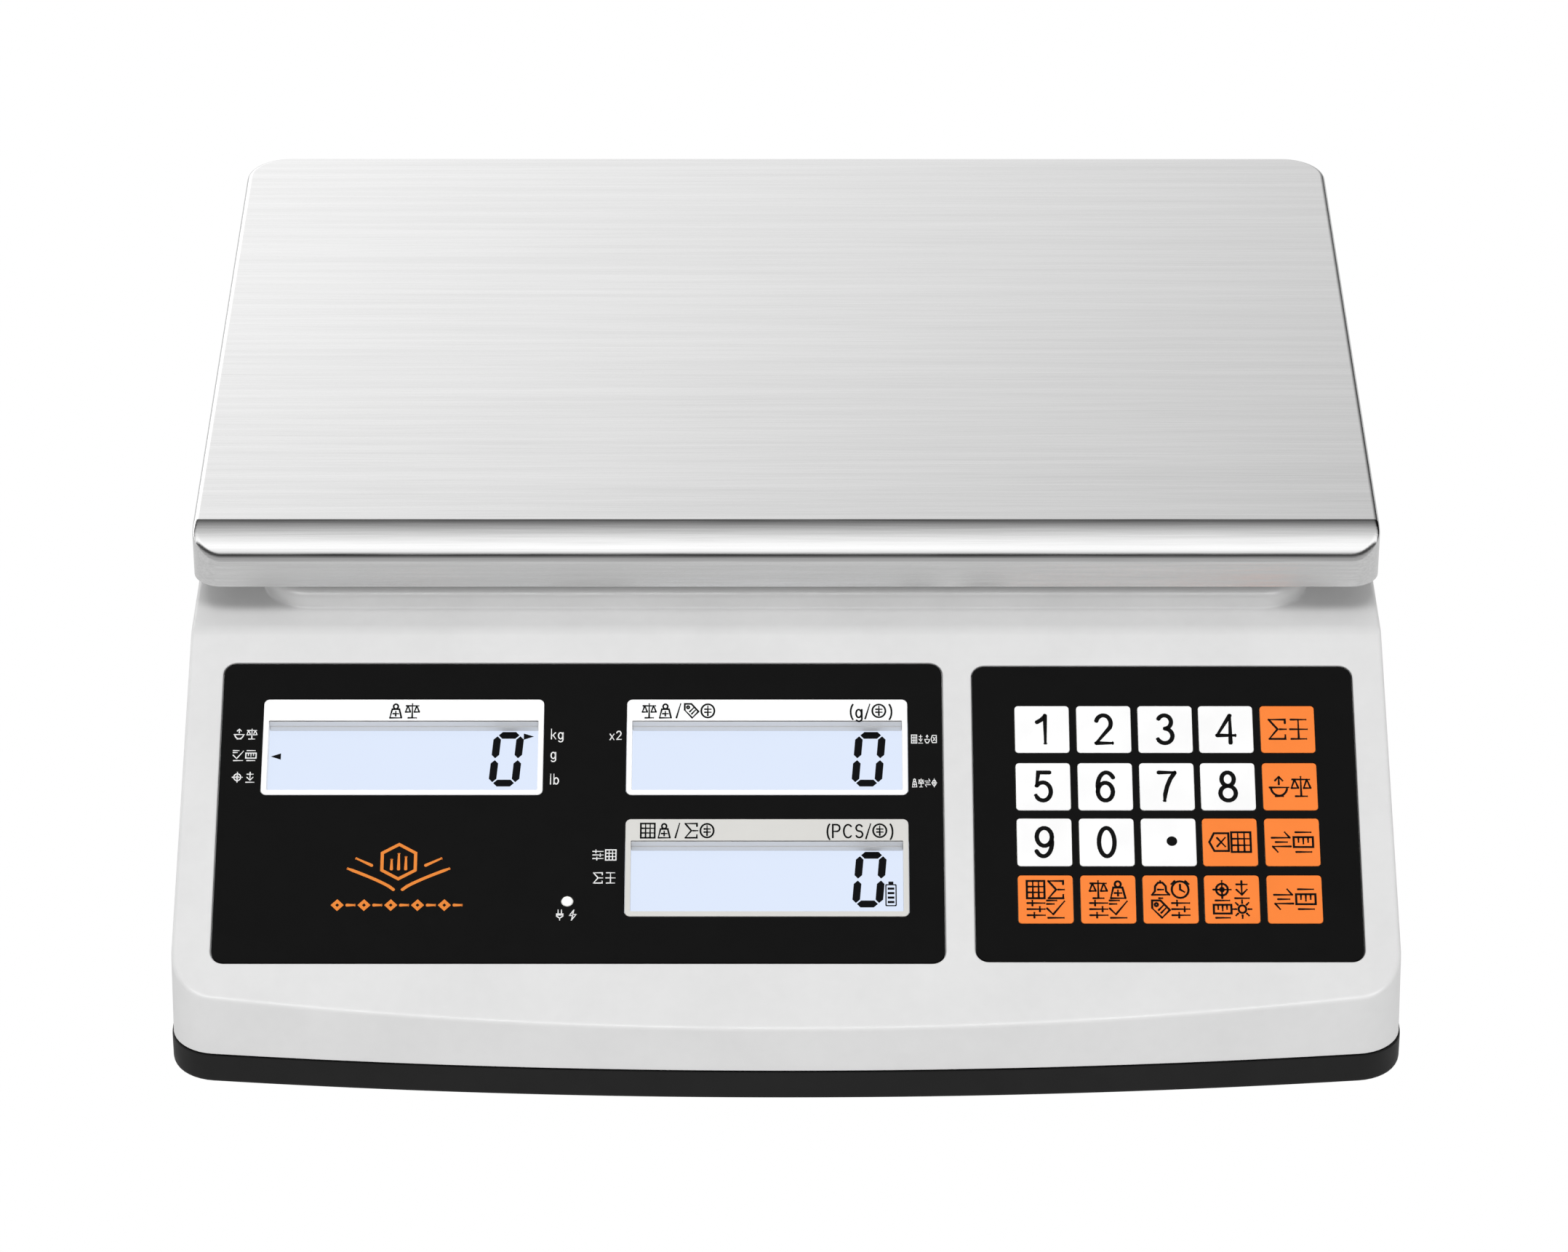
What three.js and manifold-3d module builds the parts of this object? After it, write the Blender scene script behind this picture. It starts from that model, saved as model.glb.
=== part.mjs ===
// An electronic counting scale. A stainless pan stands on a single-point load cell. The sloping front of the
// white housing has three liquid-crystal windows and a pad of twenty keys. A shallow black tray closes the
// bottom and stands on four screw feet.
// Millimetres. +X is to the right, +Y to the back and +Z up; the origin is on the table under the middle.
import * as THREE from "three";
import { mergeVertices } from "three/addons/utils/BufferGeometryUtils.js";
import Module from "manifold-3d";

const wasm = await Module();
wasm.setup();

// ---------------------------------------------------------------- driving dimensions

const GAP = 0.3; // between pieces that touch
const FAR = 400; // reach of a tool that cuts right through

// Body
const BODY_HALF = 172;
const BODY_FRONT = -179.25;
const BODY_BACK = 173;
const FRONT_RADIUS = 1560; // the slight bow of the front, in plan
const FRONT_CORNER = 13.5;
const BACK_CORNER = 21;
const BASE_BOTTOM = 7;
const BASE_FOOT_EDGE = 7.8; // the tray tucks in below this height
const BASE_TUCK = 0.8;
const PARTING = 16;
const LIP_HEIGHT = 3; // of the tray's inner lip over the parting
const LIP_THICK = 1.8;
const DECK = 93.3;
const PLATFORM_TOP = 99.3;
const WALL = 2.8;
const FLOOR_TOP = BASE_BOTTOM + WALL;
const HOUSING_STEP = 0.4; // the housing stands this far inside the tray's outline
const LEAN = 1.5 / (DECK - PARTING); // the walls lean in by this much per millimetre of height

// Sloping front: its own frame has y up the slope from the crease, z outwards
const CREASE_Y = -69.1;
const SLOPE = THREE.MathUtils.degToRad(30);
const DISPLAY = { x0: -160.3, x1: 44.5, s0: 11.1, s1: 106.3 }; // s runs down the slope from the crease
const KEYPAD = { x0: 52.6, x1: 161.2, s0: 12, s1: 105.8 };
const PANEL_CORNER = 3.8;
const OVERLAY_DEPTH = 0.3; // the overlays lie this far below the slope
const OVERLAY_THICK = 1.2;

// Display windows
const WINDOWS = [
  { name: "lcd_weight", x: -108.5, s: 38.1 },
  { name: "lcd_unit", x: -5.4, s: 38.1 },
  { name: "lcd_total", x: -5.4, s: 76.3 },
];
const FRAME_WIDTH = 79.6;
const FRAME_HEIGHT = 30.6;
const FRAME_SIDE = 1.55;
const FRAME_TITLE = 6.8; // the strip over each window
const FRAME_FOOT = 1.6;
const LCD_DEPTH = 5.8;
const LCD = { width: 82, height: 27, thick: 4 };
const LED = { x: -61.2, s: 86.7, r: 1.675 };

// Keys
const KEY_COLUMNS = [72.5, 90, 107.4, 124.6, 142.1];
const KEY_ROWS = [32.5, 50.8, 68.4, 86.3];
const KEY = { width: 15.4, height: 15, corner: 1, thick: 0.8, depth: 0.2, travel: 0.5 };
const KEY_CLEARANCE = 0.15;
const KEY_NAMES = [
  ["key_1", "key_2", "key_3", "key_4", "key_total"],
  ["key_5", "key_6", "key_7", "key_8", "key_tare"],
  ["key_9", "key_0", "key_point", "key_clear", "key_unit_a"],
  ["key_quantity", "key_unit_weight", "key_alarm", "key_zero", "key_unit_b"],
];
const MEMBRANE_THICK = 0.5;

// Pan and what carries it
const PAN_HALF = 170;
const PAN_FRONT = -61.3;
const PAN_BACK = 179.2;
const PAN_TOP = 118.4;
const PAN_BOTTOM = 102.6;
const PAN_SHEET = 1.2;
const PAN_EDGE = 1.5;
const PAN_CORNERS = [8.5, 8.5, 13, 13];
const PAN_BAND = { y: -50, run: 10.9, drop: 7 }; // the sloping band along the pan's front edge
const CENTRE_Y = (PAN_FRONT + PAN_BACK) / 2;
const PLATFORM = { half: 150.5, y0: -57.8, y1: 160, corner: 14 };
const HATCH_RADIUS = 35; // round hole in the platform
const COLLAR_HEIGHT = 1;
const SPIDER = { bottom: 101.5, top: 112, width: 22, hub: 25, reachX: 120, reachY: 80, pad: 14 };
const DEFLECTION = 0.8; // the load cell's travel, to its overload stop

// Load cell
const CELL = { x0: -65, x1: 65, width: 30, z0: 46.3, z1: 68.3 };
const CELL_BOLTS = [43, 57]; // distance of the bolts from the middle, at either end
const BOLT_R = 3;
const BOLT_HEAD = { r: 5.2, height: 4 };
const BOLT_BAR = { half: 13, halfY: 6, thick: 1.6 }; // joins two heads
const CELL_WINDOW = { half: 26, halfZ: 8, corner: 7.9 };
const BRACKET = { x1: -34, halfY: 15, footX1: -20, footHalfY: 22, footThick: 4, footReach: 6 };
const LIVE_BLOCK = { x0: 35, x1: 65 }; // between the cell and its plate
const STOP = { x: 50, foot: 9, footHeight: 6, r: 4 };
const CELL_PLATE = { x0: -28, x1: 66, half: 30, z0: 69.2, z1: 73.2 };

// Feet
const FEET = [
  ["front_left", -135, -135],
  ["front_right", 135, -135],
  ["back_left", -135, 135],
  ["back_right", 135, 135],
];
const FOOT_PAD = { r: 15, height: 3 };
const FOOT_DISC = { r: 14.4, top: 6.4 };
const FOOT_STUD = { r: 3.8, top: 24 };
const FOOT_BOSS = { r: 11, hole: 4.35, top: 22 };
const STUD = { foot: 8, r: 9 }; // rubber stud under each corner of the pan

// Battery bay and the side well
const BATTERY = { x0: -105, x1: -4, y0: 90, y1: 160, z0: 12.1, z1: 60 };
const DOOR = { x0: -109, x1: 0, y0: 86, y1: 164, top: 9, lip: 0.4, taper: 1.5, travel: 12 };
const BAY_FLOOR = 11.8;
const BAY_RIM = 3;
const WELL = { y0: 68, y1: 150, z0: 22, z1: 48, floor: 166, wall: 2.4 };
const WELL_Z = 35;
const CUTOUT_SLACK = 0.4;
const FLANGE = 2; // thickness of the inlet's and the switch's flanges
const INLET = { y: 128, halfY: 12, halfZ: 7, flangeY: 15.5, flangeZ: 9, back: 148 };
const SOCKET = { halfY: 8.2, halfZ: 4.4, floor: 157, pinR: 1.2, pinY: 4.3, pinBack: 150 };
const SWITCH = { y: 86, halfY: 9.6, halfZ: 6.5, flangeY: 10.5, flangeZ: 7.5, back: 149 };
const ROCKER = { halfY: 8.6, halfZ: 5.2, floor: 160.5, rest: 8 }; // its bay, and its angle at rest
const POST_R = 4.5;
const POSTS = [[160, -148], [160, 20], [152, 152], [-160, -148], [-160, 20], [-152, 152]];
const LEVEL = { x: -125, y: -35, r: 9, depth: 5.5, wall: 2 };
const TRANSFORMER = { x0: 60, x1: 108, y0: 118, y1: 144, top: 50 };
const COIL = { x0: 68, x1: 100, y0: 110, y1: 152, z0: 16, z1: 45 };
const TERMINAL = { x: 6, y: 12, width: 6, length: 7, height: 5 }; // on the battery, from its edges

// Boards
const BOARD = { x0: -75, x1: 90, y0: -150, y1: -85, lift: 6, thick: 1.6 };
const BOARD_PILLARS = [[-70, -100], [85, -90], [-66, -112], [85, -145]];
const BOARD_PARTS = [ // x0, x1, y0, y1 and height over the board
  [-70, -50, -90, -85.5, 5.4], // load cell connector
  [61, 81, -149, -143, 4.4], // keypad connector
  [-20, 5, -125, -100, 1.8], // controller
  [30, 42, -118, -106, 10.4], // capacitor
  [-72, -60, -145, -120, 7.4], // power connector
];
const DISPLAY_BOARD = { x0: -150, x1: 38, s0: 16, s1: 101, thick: 1.6 };
const RIBBON = { x0: 62, x1: 80, s: 97, thick: 0.8, drop: 14, foot: 12 }; // foot is over the floor

// Colours and surfaces
const WHITE_PLASTIC = { color: 0xe4e4e2, roughness: 0.45, metalness: 0 };
const BLACK_PLASTIC = { color: 0x242424, roughness: 0.5, metalness: 0 };
const PANEL_BLACK = { color: 0x1a1a1a, roughness: 0.3, metalness: 0 };
const KEY_WHITE = { color: 0xf2f2f2, roughness: 0.35, metalness: 0 };
const KEY_ORANGE = { color: 0xff8643, roughness: 0.35, metalness: 0 };
const LCD_GLASS = { color: 0xe0eafe, roughness: 0.15, metalness: 0 };
const BOARD_GREEN = { color: 0x1f5a35, roughness: 0.5, metalness: 0 };
const STAINLESS = { color: 0xd9d9d6, roughness: 0.28, metalness: 1 };
const ALUMINIUM = { color: 0xb9bcc0, roughness: 0.4, metalness: 1 };
const STEEL = { color: 0x9a9da1, roughness: 0.35, metalness: 1 };
const IRON_PAINT = { color: 0x5b5f63, roughness: 0.6, metalness: 0 };
const RUBBER = { color: 0x1c1c1c, roughness: 0.9, metalness: 0 };

// ---------------------------------------------------------------- shapes and solids

// A rectangle with round corners; corners is one radius, or four from the front left, anticlockwise.
function roundedShape(x0, x1, y0, y1, corners) {
  const [a, b, c, d] = Array.isArray(corners) ? corners : Array(4).fill(corners);
  const shape = new THREE.Shape();
  shape.absarc(x0 + a, y0 + a, a, Math.PI, 1.5 * Math.PI);
  shape.absarc(x1 - b, y0 + b, b, 1.5 * Math.PI, 2 * Math.PI);
  shape.absarc(x1 - c, y1 - c, c, 0, 0.5 * Math.PI);
  shape.absarc(x0 + d, y1 - d, d, 0.5 * Math.PI, Math.PI);
  shape.closePath();
  return shape;
}

// The body's outline in plan, drawn in by inset: a bowed front, straight sides and a straight back.
function bodyOutline(inset) {
  const half = BODY_HALF - inset;
  const radius = FRONT_RADIUS - inset;
  const centreY = BODY_FRONT + FRONT_RADIUS;
  const back = BODY_BACK - inset;
  const front = Math.max(FRONT_CORNER - inset, 2);
  const rear = BACK_CORNER - inset;
  const cornerX = half - front;
  const cornerY = centreY - Math.sqrt((radius - front) ** 2 - cornerX ** 2);
  const bow = Math.atan2(cornerX, centreY - cornerY);
  const down = 1.5 * Math.PI;
  const shape = new THREE.Shape();
  shape.absarc(0, centreY, radius, down - bow, down + bow);
  shape.absarc(cornerX, cornerY, front, down + bow, 2 * Math.PI);
  shape.absarc(half - rear, back - rear, rear, 0, 0.5 * Math.PI);
  shape.absarc(rear - half, back - rear, rear, 0.5 * Math.PI, Math.PI);
  shape.absarc(-cornerX, cornerY, front, Math.PI, down - bow);
  shape.closePath();
  return shape;
}

// A shape in plan made solid between two heights.
function prism(shape, z0, z1, curveSegments = 2) {
  const g = new THREE.ExtrudeGeometry(shape, { depth: z1 - z0, bevelEnabled: false, curveSegments });
  return g.translate(0, 0, z0);
}

function block(x0, x1, y0, y1, z0, z1) {
  const g = new THREE.BoxGeometry(x1 - x0, y1 - y0, z1 - z0);
  return g.translate((x0 + x1) / 2, (y0 + y1) / 2, (z0 + z1) / 2);
}

// An upright round bar.
function rod(x, y, r, z0, z1, sides = 16) {
  const g = new THREE.CylinderGeometry(r, r, z1 - z0, sides).rotateX(Math.PI / 2);
  return g.translate(x, y, (z0 + z1) / 2);
}

// A round bar along X.
function barX(x0, x1, y, z, r, sides = 10) {
  const g = new THREE.CylinderGeometry(r, r, x1 - x0, sides).rotateZ(Math.PI / 2);
  return g.translate((x0 + x1) / 2, y, z);
}

// A turned piece on an upright axis, from [radius, height] points that start and end on the axis.
function turned(x, y, profile, sides = 16) {
  const points = profile.map(([r, z]) => new THREE.Vector2(r, z));
  return new THREE.LatheGeometry(points, sides).rotateX(Math.PI / 2).translate(x, y, 0);
}

// An outline in the Y-Z plane, from [y, z] points, made solid along X.
function sideways(points, x0, x1) {
  const shape = new THREE.Shape(points.map(([y, z]) => new THREE.Vector2(y, z)));
  const g = new THREE.ExtrudeGeometry(shape, { depth: x1 - x0, bevelEnabled: false });
  const turn = new THREE.Matrix4().makeBasis(
    new THREE.Vector3(0, 1, 0),
    new THREE.Vector3(0, 0, 1),
    new THREE.Vector3(1, 0, 0),
  );
  return g.applyMatrix4(turn).translate(x0, 0, 0);
}

function solidOf(geometry) {
  const bare = geometry.clone();
  bare.deleteAttribute("normal");
  bare.deleteAttribute("uv");
  const merged = mergeVertices(bare);
  const mesh = new wasm.Mesh({
    numProp: 3,
    vertProperties: merged.attributes.position.array,
    triVerts: new Uint32Array(merged.index.array),
  });
  return new wasm.Manifold(mesh);
}

// One body from the geometries in added, less those in removed.
function carve(added, removed = []) {
  let body = solidOf(added[0]);
  for (const g of added.slice(1)) body = body.add(solidOf(g));
  for (const g of removed) body = body.subtract(solidOf(g));
  const mesh = body.getMesh();
  const geometry = new THREE.BufferGeometry();
  geometry.setAttribute("position", new THREE.BufferAttribute(mesh.vertProperties, 3));
  geometry.setIndex(new THREE.BufferAttribute(mesh.triVerts, 1));
  geometry.computeVertexNormals();
  return geometry;
}

// Leans a body's walls inwards with height.
function lean(geometry) {
  const place = geometry.attributes.position;
  for (let i = 0; i < place.count; i += 1) {
    const k = 1 - (LEAN * (place.getZ(i) - PARTING)) / BODY_HALF;
    place.setXY(i, place.getX(i) * k, place.getY(i) * k);
  }
  return geometry;
}

// ---------------------------------------------------------------- assembly

const scale = new THREE.Group();
const fascia = new THREE.Group();
fascia.position.set(0, CREASE_Y, DECK);
fascia.rotation.x = SLOPE;
fascia.updateMatrix();
scale.add(fascia);

function piece(name, geometry, look, parent = scale) {
  const mesh = new THREE.Mesh(geometry, new THREE.MeshStandardMaterial(look));
  mesh.name = name;
  parent.add(mesh);
  return mesh;
}

// A plate in the slope's frame, between two depths below the slope.
function plate(x0, x1, s0, s1, corner, top, bottom, holes = []) {
  const shape = roundedShape(x0, x1, -s1, -s0, corner);
  shape.holes.push(...holes);
  return prism(shape, -bottom, -top, 1);
}

function boxInSlope(x0, x1, s0, s1, top, bottom) {
  return block(x0, x1, -s1, -s0, -bottom, -top);
}

// The same shape in the scale's own frame, for cutting the housing.
function onSlope(geometry) {
  return geometry.applyMatrix4(fascia.matrix);
}

// The outer rectangle of a window's frame, and the opening in it.
function frameOf({ x, s }) {
  const half = FRAME_WIDTH / 2;
  return { x0: x - half, x1: x + half, s0: s - FRAME_HEIGHT / 2, s1: s + FRAME_HEIGHT / 2 };
}

function openingOf(window) {
  const f = frameOf(window);
  return { x0: f.x0 + FRAME_SIDE, x1: f.x1 - FRAME_SIDE, s0: f.s0 + FRAME_TITLE, s1: f.s1 - FRAME_FOOT };
}

const KEYPAD_POCKET = KEY.depth + KEY.thick + KEY.travel + GAP + MEMBRANE_THICK + GAP;
const DISPLAY_POCKET = OVERLAY_DEPTH + OVERLAY_THICK + GAP;

// White upper shell with the sloping front, deck, raised platform, window frames and side well.
function topHousing() {
  const above = (depth) => onSlope(block(-FAR, FAR, -FAR, FAR, -depth, FAR));
  const shell = carve(
    [
      carve([lean(prism(bodyOutline(HOUSING_STEP), PARTING, DECK, 4))], [above(0)]),
      prism(roundedShape(-PLATFORM.half, PLATFORM.half, PLATFORM.y0, PLATFORM.y1, PLATFORM.corner),
        DECK - 1, PLATFORM_TOP),
    ],
    [
      carve([lean(prism(bodyOutline(HOUSING_STEP + WALL), PARTING - 1, DECK - WALL, 4))], [above(WALL)]),
      prism(roundedShape(WALL - PLATFORM.half, PLATFORM.half - WALL, PLATFORM.y0 + WALL,
        PLATFORM.y1 - WALL, PLATFORM.corner - WALL), DECK - 10, PLATFORM_TOP - WALL),
    ],
  );
  const added = [shell];
  const removed = [];

  // Pockets for the two overlays, the keypad's with a thicker floor
  const { x0, x1, s0, s1 } = KEYPAD;
  added.push(onSlope(boxInSlope(x0 - 2, x1 + 2, s0 - 2, s1 + 2, 1, KEYPAD_POCKET + 1.4)));
  removed.push(onSlope(plate(x0, x1, s0, s1, PANEL_CORNER, -1, KEYPAD_POCKET)));
  const d = DISPLAY;
  removed.push(onSlope(plate(d.x0, d.x1, d.s0, d.s1, PANEL_CORNER, -1, DISPLAY_POCKET)));
  removed.push(onSlope(boxInSlope(RIBBON.x0 - 1, RIBBON.x1 + 1, RIBBON.s - 1.2, RIBBON.s + 1.2, 0, 9)));
  const body = [carve(added, removed)];

  // Window frames, level with the overlay, and the lamp's hole
  const openings = [onSlope(rod(LED.x, -LED.s, LED.r + GAP, -9, 1, 12))];
  for (const window of WINDOWS) {
    const f = frameOf(window);
    const o = openingOf(window);
    body.push(onSlope(boxInSlope(f.x0, f.x1, f.s0, f.s1, OVERLAY_DEPTH, LCD_DEPTH - GAP)));
    openings.push(onSlope(boxInSlope(o.x0, o.x1, o.s0, o.s1, -1, LCD_DEPTH + 1)));
  }

  // Collar round the platform's hatch
  body.push(rod(0, CENTRE_Y, HATCH_RADIUS + WALL, PLATFORM_TOP - WALL, PLATFORM_TOP + COLLAR_HEIGHT, 40));
  openings.push(rod(0, CENTRE_Y, HATCH_RADIUS, DECK - 10, PLATFORM_TOP + 5, 40));

  // Seat of the spirit level
  const seat = PLATFORM_TOP - LEVEL.depth;
  body.push(rod(LEVEL.x, LEVEL.y, LEVEL.r + LEVEL.wall, seat - LEVEL.wall, PLATFORM_TOP - 1));
  openings.push(rod(LEVEL.x, LEVEL.y, LEVEL.r, seat, PLATFORM_TOP + 1));

  // Well in the right wall, with the holes of the inlet and the switch in its floor
  const w = WELL;
  body.push(block(w.floor - w.wall, BODY_HALF - 2, w.y0 - w.wall, w.y1 + w.wall, w.z0 - w.wall, w.z1 + w.wall));
  openings.push(block(w.floor, FAR, w.y0, w.y1, w.z0, w.z1));
  for (const { y, halfY, halfZ } of [INLET, SWITCH])
    openings.push(inWell(w.floor - 5, FAR, y, halfY + CUTOUT_SLACK, halfZ + CUTOUT_SLACK));

  // Screw posts, standing just over the tray's floor
  const postFoot = FLOOR_TOP + GAP;
  for (const [x, y] of POSTS)
    body.push(carve([rod(x, y, POST_R, postFoot, DECK - 1, 12)], [above(WALL - 0.1)]));
  return carve(body, openings);
}

// Black tray with the foot bosses, an inner lip for the housing and the battery bay's grooved floor.
function baseTray() {
  const added = [
    prism(bodyOutline(0), BASE_FOOT_EDGE, PARTING - GAP, 4),
    prism(bodyOutline(BASE_TUCK), BASE_BOTTOM, BASE_FOOT_EDGE + 1, 4),
  ];
  const tray = carve(added, [prism(bodyOutline(WALL), FLOOR_TOP, FAR, 4)]);
  const lipInset = HOUSING_STEP + WALL + GAP;
  const lip = carve(
    [prism(bodyOutline(lipInset), FLOOR_TOP - 1, PARTING + LIP_HEIGHT, 4)],
    [prism(bodyOutline(lipInset + LIP_THICK), FLOOR_TOP - 2, FAR, 4)],
  );
  const shelf = carve(
    [prism(bodyOutline(WALL - 1), FLOOR_TOP - 1, PARTING - 2, 4)],
    [prism(bodyOutline(lipInset + LIP_THICK), FLOOR_TOP - 2, FAR, 4)],
  );
  const bayRim = block(DOOR.x0 - BAY_RIM, DOOR.x1 + DOOR.travel + BAY_RIM, DOOR.y0 - BAY_RIM,
    DOOR.y1 + BAY_RIM, FLOOR_TOP - 1, BAY_FLOOR);
  const body = [tray, shelf, lip, bayRim];
  const removed = [
    doorBlock(DOOR.travel, GAP),
    block(BATTERY.x0 - 1, BATTERY.x1 + 1, BATTERY.y0 - 1, BATTERY.y1 + 1, 5, 20),
  ];
  for (const [, x, y] of FEET) {
    body.push(rod(x, y, FOOT_BOSS.r, BASE_BOTTOM, FOOT_BOSS.top, 20));
    removed.push(rod(x, y, FOOT_BOSS.hole, 0, 30, 16));
  }
  return carve(body, removed);
}

// The sliding door of the battery bay: a flat dovetail, wider at the top, so that it can't drop out.
// slack widens it into its groove, and travel makes the groove longer.
function doorBlock(travel, slack) {
  const { y0, y1, top, lip, taper } = DOOR;
  const bottom = slack > 0 ? BASE_BOTTOM - 1 : BASE_BOTTOM;
  const outline = [
    [y0 + taper - slack, bottom],
    [y1 - taper + slack, bottom],
    [y1 - taper + slack, BASE_BOTTOM + lip],
    [y1 + slack, top + slack],
    [y0 - slack, top + slack],
    [y0 + taper - slack, BASE_BOTTOM + lip],
  ];
  return sideways(outline, DOOR.x0 - slack, DOOR.x1 + travel + slack);
}

function displayOverlay() {
  const holes = WINDOWS.map((window) => {
    const f = frameOf(window);
    return roundedShape(f.x0 - GAP, f.x1 + GAP, -f.s1 - GAP, -f.s0 + GAP, 0.6);
  });
  const r = LED.r + GAP;
  holes.push(roundedShape(LED.x - r, LED.x + r, -LED.s - r, -LED.s + r, r));
  const d = DISPLAY;
  return plate(d.x0 + GAP, d.x1 - GAP, d.s0 + GAP, d.s1 - GAP, PANEL_CORNER - GAP, OVERLAY_DEPTH,
    OVERLAY_DEPTH + OVERLAY_THICK, holes);
}

function keypadOverlay() {
  const holes = [];
  const halfX = KEY.width / 2 + KEY_CLEARANCE;
  const halfS = KEY.height / 2 + KEY_CLEARANCE;
  for (const s of KEY_ROWS)
    for (const x of KEY_COLUMNS)
      holes.push(roundedShape(x - halfX, x + halfX, -s - halfS, -s + halfS, KEY.corner));
  const k = KEYPAD;
  return plate(k.x0 + GAP, k.x1 - GAP, k.s0 + GAP, k.s1 - GAP, PANEL_CORNER - GAP, OVERLAY_DEPTH,
    OVERLAY_DEPTH + OVERLAY_THICK - 0.1, holes);
}

function keyCap(x, s) {
  const halfX = KEY.width / 2;
  const halfS = KEY.height / 2;
  return plate(x - halfX, x + halfX, s - halfS, s + halfS, KEY.corner, KEY.depth, KEY.depth + KEY.thick);
}

// The pan's volume, drawn in by inset on every face but the open bottom.
function panBody(inset, bottom) {
  const corners = PAN_CORNERS.map((r) => r - inset);
  const plan = roundedShape(-PAN_HALF + inset, PAN_HALF - inset, PAN_FRONT + inset, PAN_BACK - inset, corners);
  const rough = new THREE.ExtrudeGeometry(plan, {
    depth: PAN_TOP - inset - bottom,
    bevelThickness: PAN_EDGE,
    bevelSize: PAN_EDGE,
    bevelOffset: -PAN_EDGE,
    bevelSegments: 2,
    curveSegments: 3,
  }).translate(0, 0, bottom - PAN_EDGE);
  const tilt = Math.atan2(PAN_BAND.drop, PAN_BAND.run);
  const overBand = block(-FAR, FAR, -FAR, FAR, -inset, FAR)
    .rotateX(tilt)
    .translate(0, PAN_BAND.y, PAN_TOP);
  return carve([rough], [overBand, block(-FAR, FAR, -FAR, FAR, -FAR, bottom)]);
}

// Cast spider: a hub on the cell's plate and four arms that end in round pads under the pan.
function panSupport() {
  const { bottom, top, width, hub, reachX, reachY, pad } = SPIDER;
  const length = 2 * Math.hypot(reachX, reachY);
  const angle = Math.atan2(reachY, reachX);
  const body = [rod(0, CENTRE_Y, hub, CELL_PLATE.z1 + GAP, top, 32)];
  for (const side of [-1, 1]) {
    const arm = block(-length / 2, length / 2, -width / 2, width / 2, bottom, top);
    body.push(arm.rotateZ(side * angle).translate(0, CENTRE_Y, 0));
    for (const end of [-1, 1]) body.push(rod(side * reachX, CENTRE_Y + end * reachY, pad, bottom, top));
  }
  return carve(body);
}

function loadCell() {
  const half = CELL.width / 2;
  const middle = (CELL.z0 + CELL.z1) / 2;
  const removed = [];
  const w = CELL_WINDOW;
  const window = roundedShape(-w.half, w.half, middle - w.halfZ, middle + w.halfZ, w.corner);
  removed.push(prism(window, -FAR, FAR).rotateX(Math.PI / 2).translate(0, CENTRE_Y, 0));
  for (const x of CELL_BOLTS) {
    removed.push(rod(-x, CENTRE_Y, BOLT_R + GAP, 0, FAR, 10));
    removed.push(rod(x, CENTRE_Y, BOLT_R + GAP, 0, FAR, 10));
  }
  return carve([block(CELL.x0, CELL.x1, CENTRE_Y - half, CENTRE_Y + half, CELL.z0, CELL.z1)], removed);
}

// Two screws joined by the washer bar under their heads; end is -1 at the fixed end, +1 at the live end.
function cellBolts(end, seat, tip) {
  const [near, distant] = CELL_BOLTS;
  const middle = (end * (near + distant)) / 2;
  const { half, halfY, thick } = BOLT_BAR;
  const top = seat + thick;
  const body = [block(middle - half, middle + half, CENTRE_Y - halfY, CENTRE_Y + halfY, seat, top)];
  for (const x of CELL_BOLTS) {
    body.push(rod(end * x, CENTRE_Y, BOLT_R, tip, top - 0.6, 10));
    body.push(rod(end * x, CENTRE_Y, BOLT_HEAD.r, top - 0.6, top + BOLT_HEAD.height, 6));
  }
  return carve(body);
}

function cellBracket() {
  const z0 = FLOOR_TOP + GAP;
  const x0 = CELL.x0 - 1;
  const { x1, halfY, footX1, footHalfY, footThick, footReach } = BRACKET;
  const body = [
    block(x0, x1, CENTRE_Y - halfY, CENTRE_Y + halfY, z0, CELL.z0 - GAP),
    block(x0 - footReach, footX1, CENTRE_Y - footHalfY, CENTRE_Y + footHalfY, z0, z0 + footThick),
  ];
  return carve(body, CELL_BOLTS.map((x) => rod(-x, CENTRE_Y, BOLT_R + GAP, 30, FAR, 10)));
}

function cellPlate() {
  const { x0, x1, half, z0, z1 } = CELL_PLATE;
  const blockHalf = CELL.width / 2;
  const body = [
    block(x0, x1, CENTRE_Y - half, CENTRE_Y + half, z0, z1),
    block(LIVE_BLOCK.x0, LIVE_BLOCK.x1, CENTRE_Y - blockHalf, CENTRE_Y + blockHalf, CELL.z1 + GAP, z0 + 1),
  ];
  return carve(body, CELL_BOLTS.map((x) => rod(x, CENTRE_Y, BOLT_R + GAP, 0, FAR, 10)));
}

// A block in the side well, centred at y on the well's middle height.
function inWell(x0, x1, y, halfY, halfZ) {
  return block(x0, x1, y - halfY, y + halfY, WELL_Z - halfZ, WELL_Z + halfZ);
}

// A flanged body that fits the well's cutout.
function wellBody({ y, halfY, halfZ, flangeY, flangeZ, back }) {
  const seat = WELL.floor + GAP;
  return [inWell(seat, seat + FLANGE, y, flangeY, flangeZ), inWell(back, WELL.floor + 1, y, halfY, halfZ)];
}

// A two-pin mains inlet: the pins stand in an open socket.
function powerInlet() {
  const body = carve(wellBody(INLET), [inWell(SOCKET.floor, FAR, INLET.y, SOCKET.halfY, SOCKET.halfZ)]);
  const tip = WELL.floor + GAP + FLANGE - 1;
  const { pinBack, pinY, pinR } = SOCKET;
  const pins = [-pinY, pinY].map((y) => barX(pinBack, tip, INLET.y + y, WELL_Z, pinR, 8));
  return carve([body, ...pins]);
}

function switchHousing() {
  return carve(wellBody(SWITCH), [inWell(ROCKER.floor, FAR, SWITCH.y, ROCKER.halfY, ROCKER.halfZ)]);
}

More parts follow.
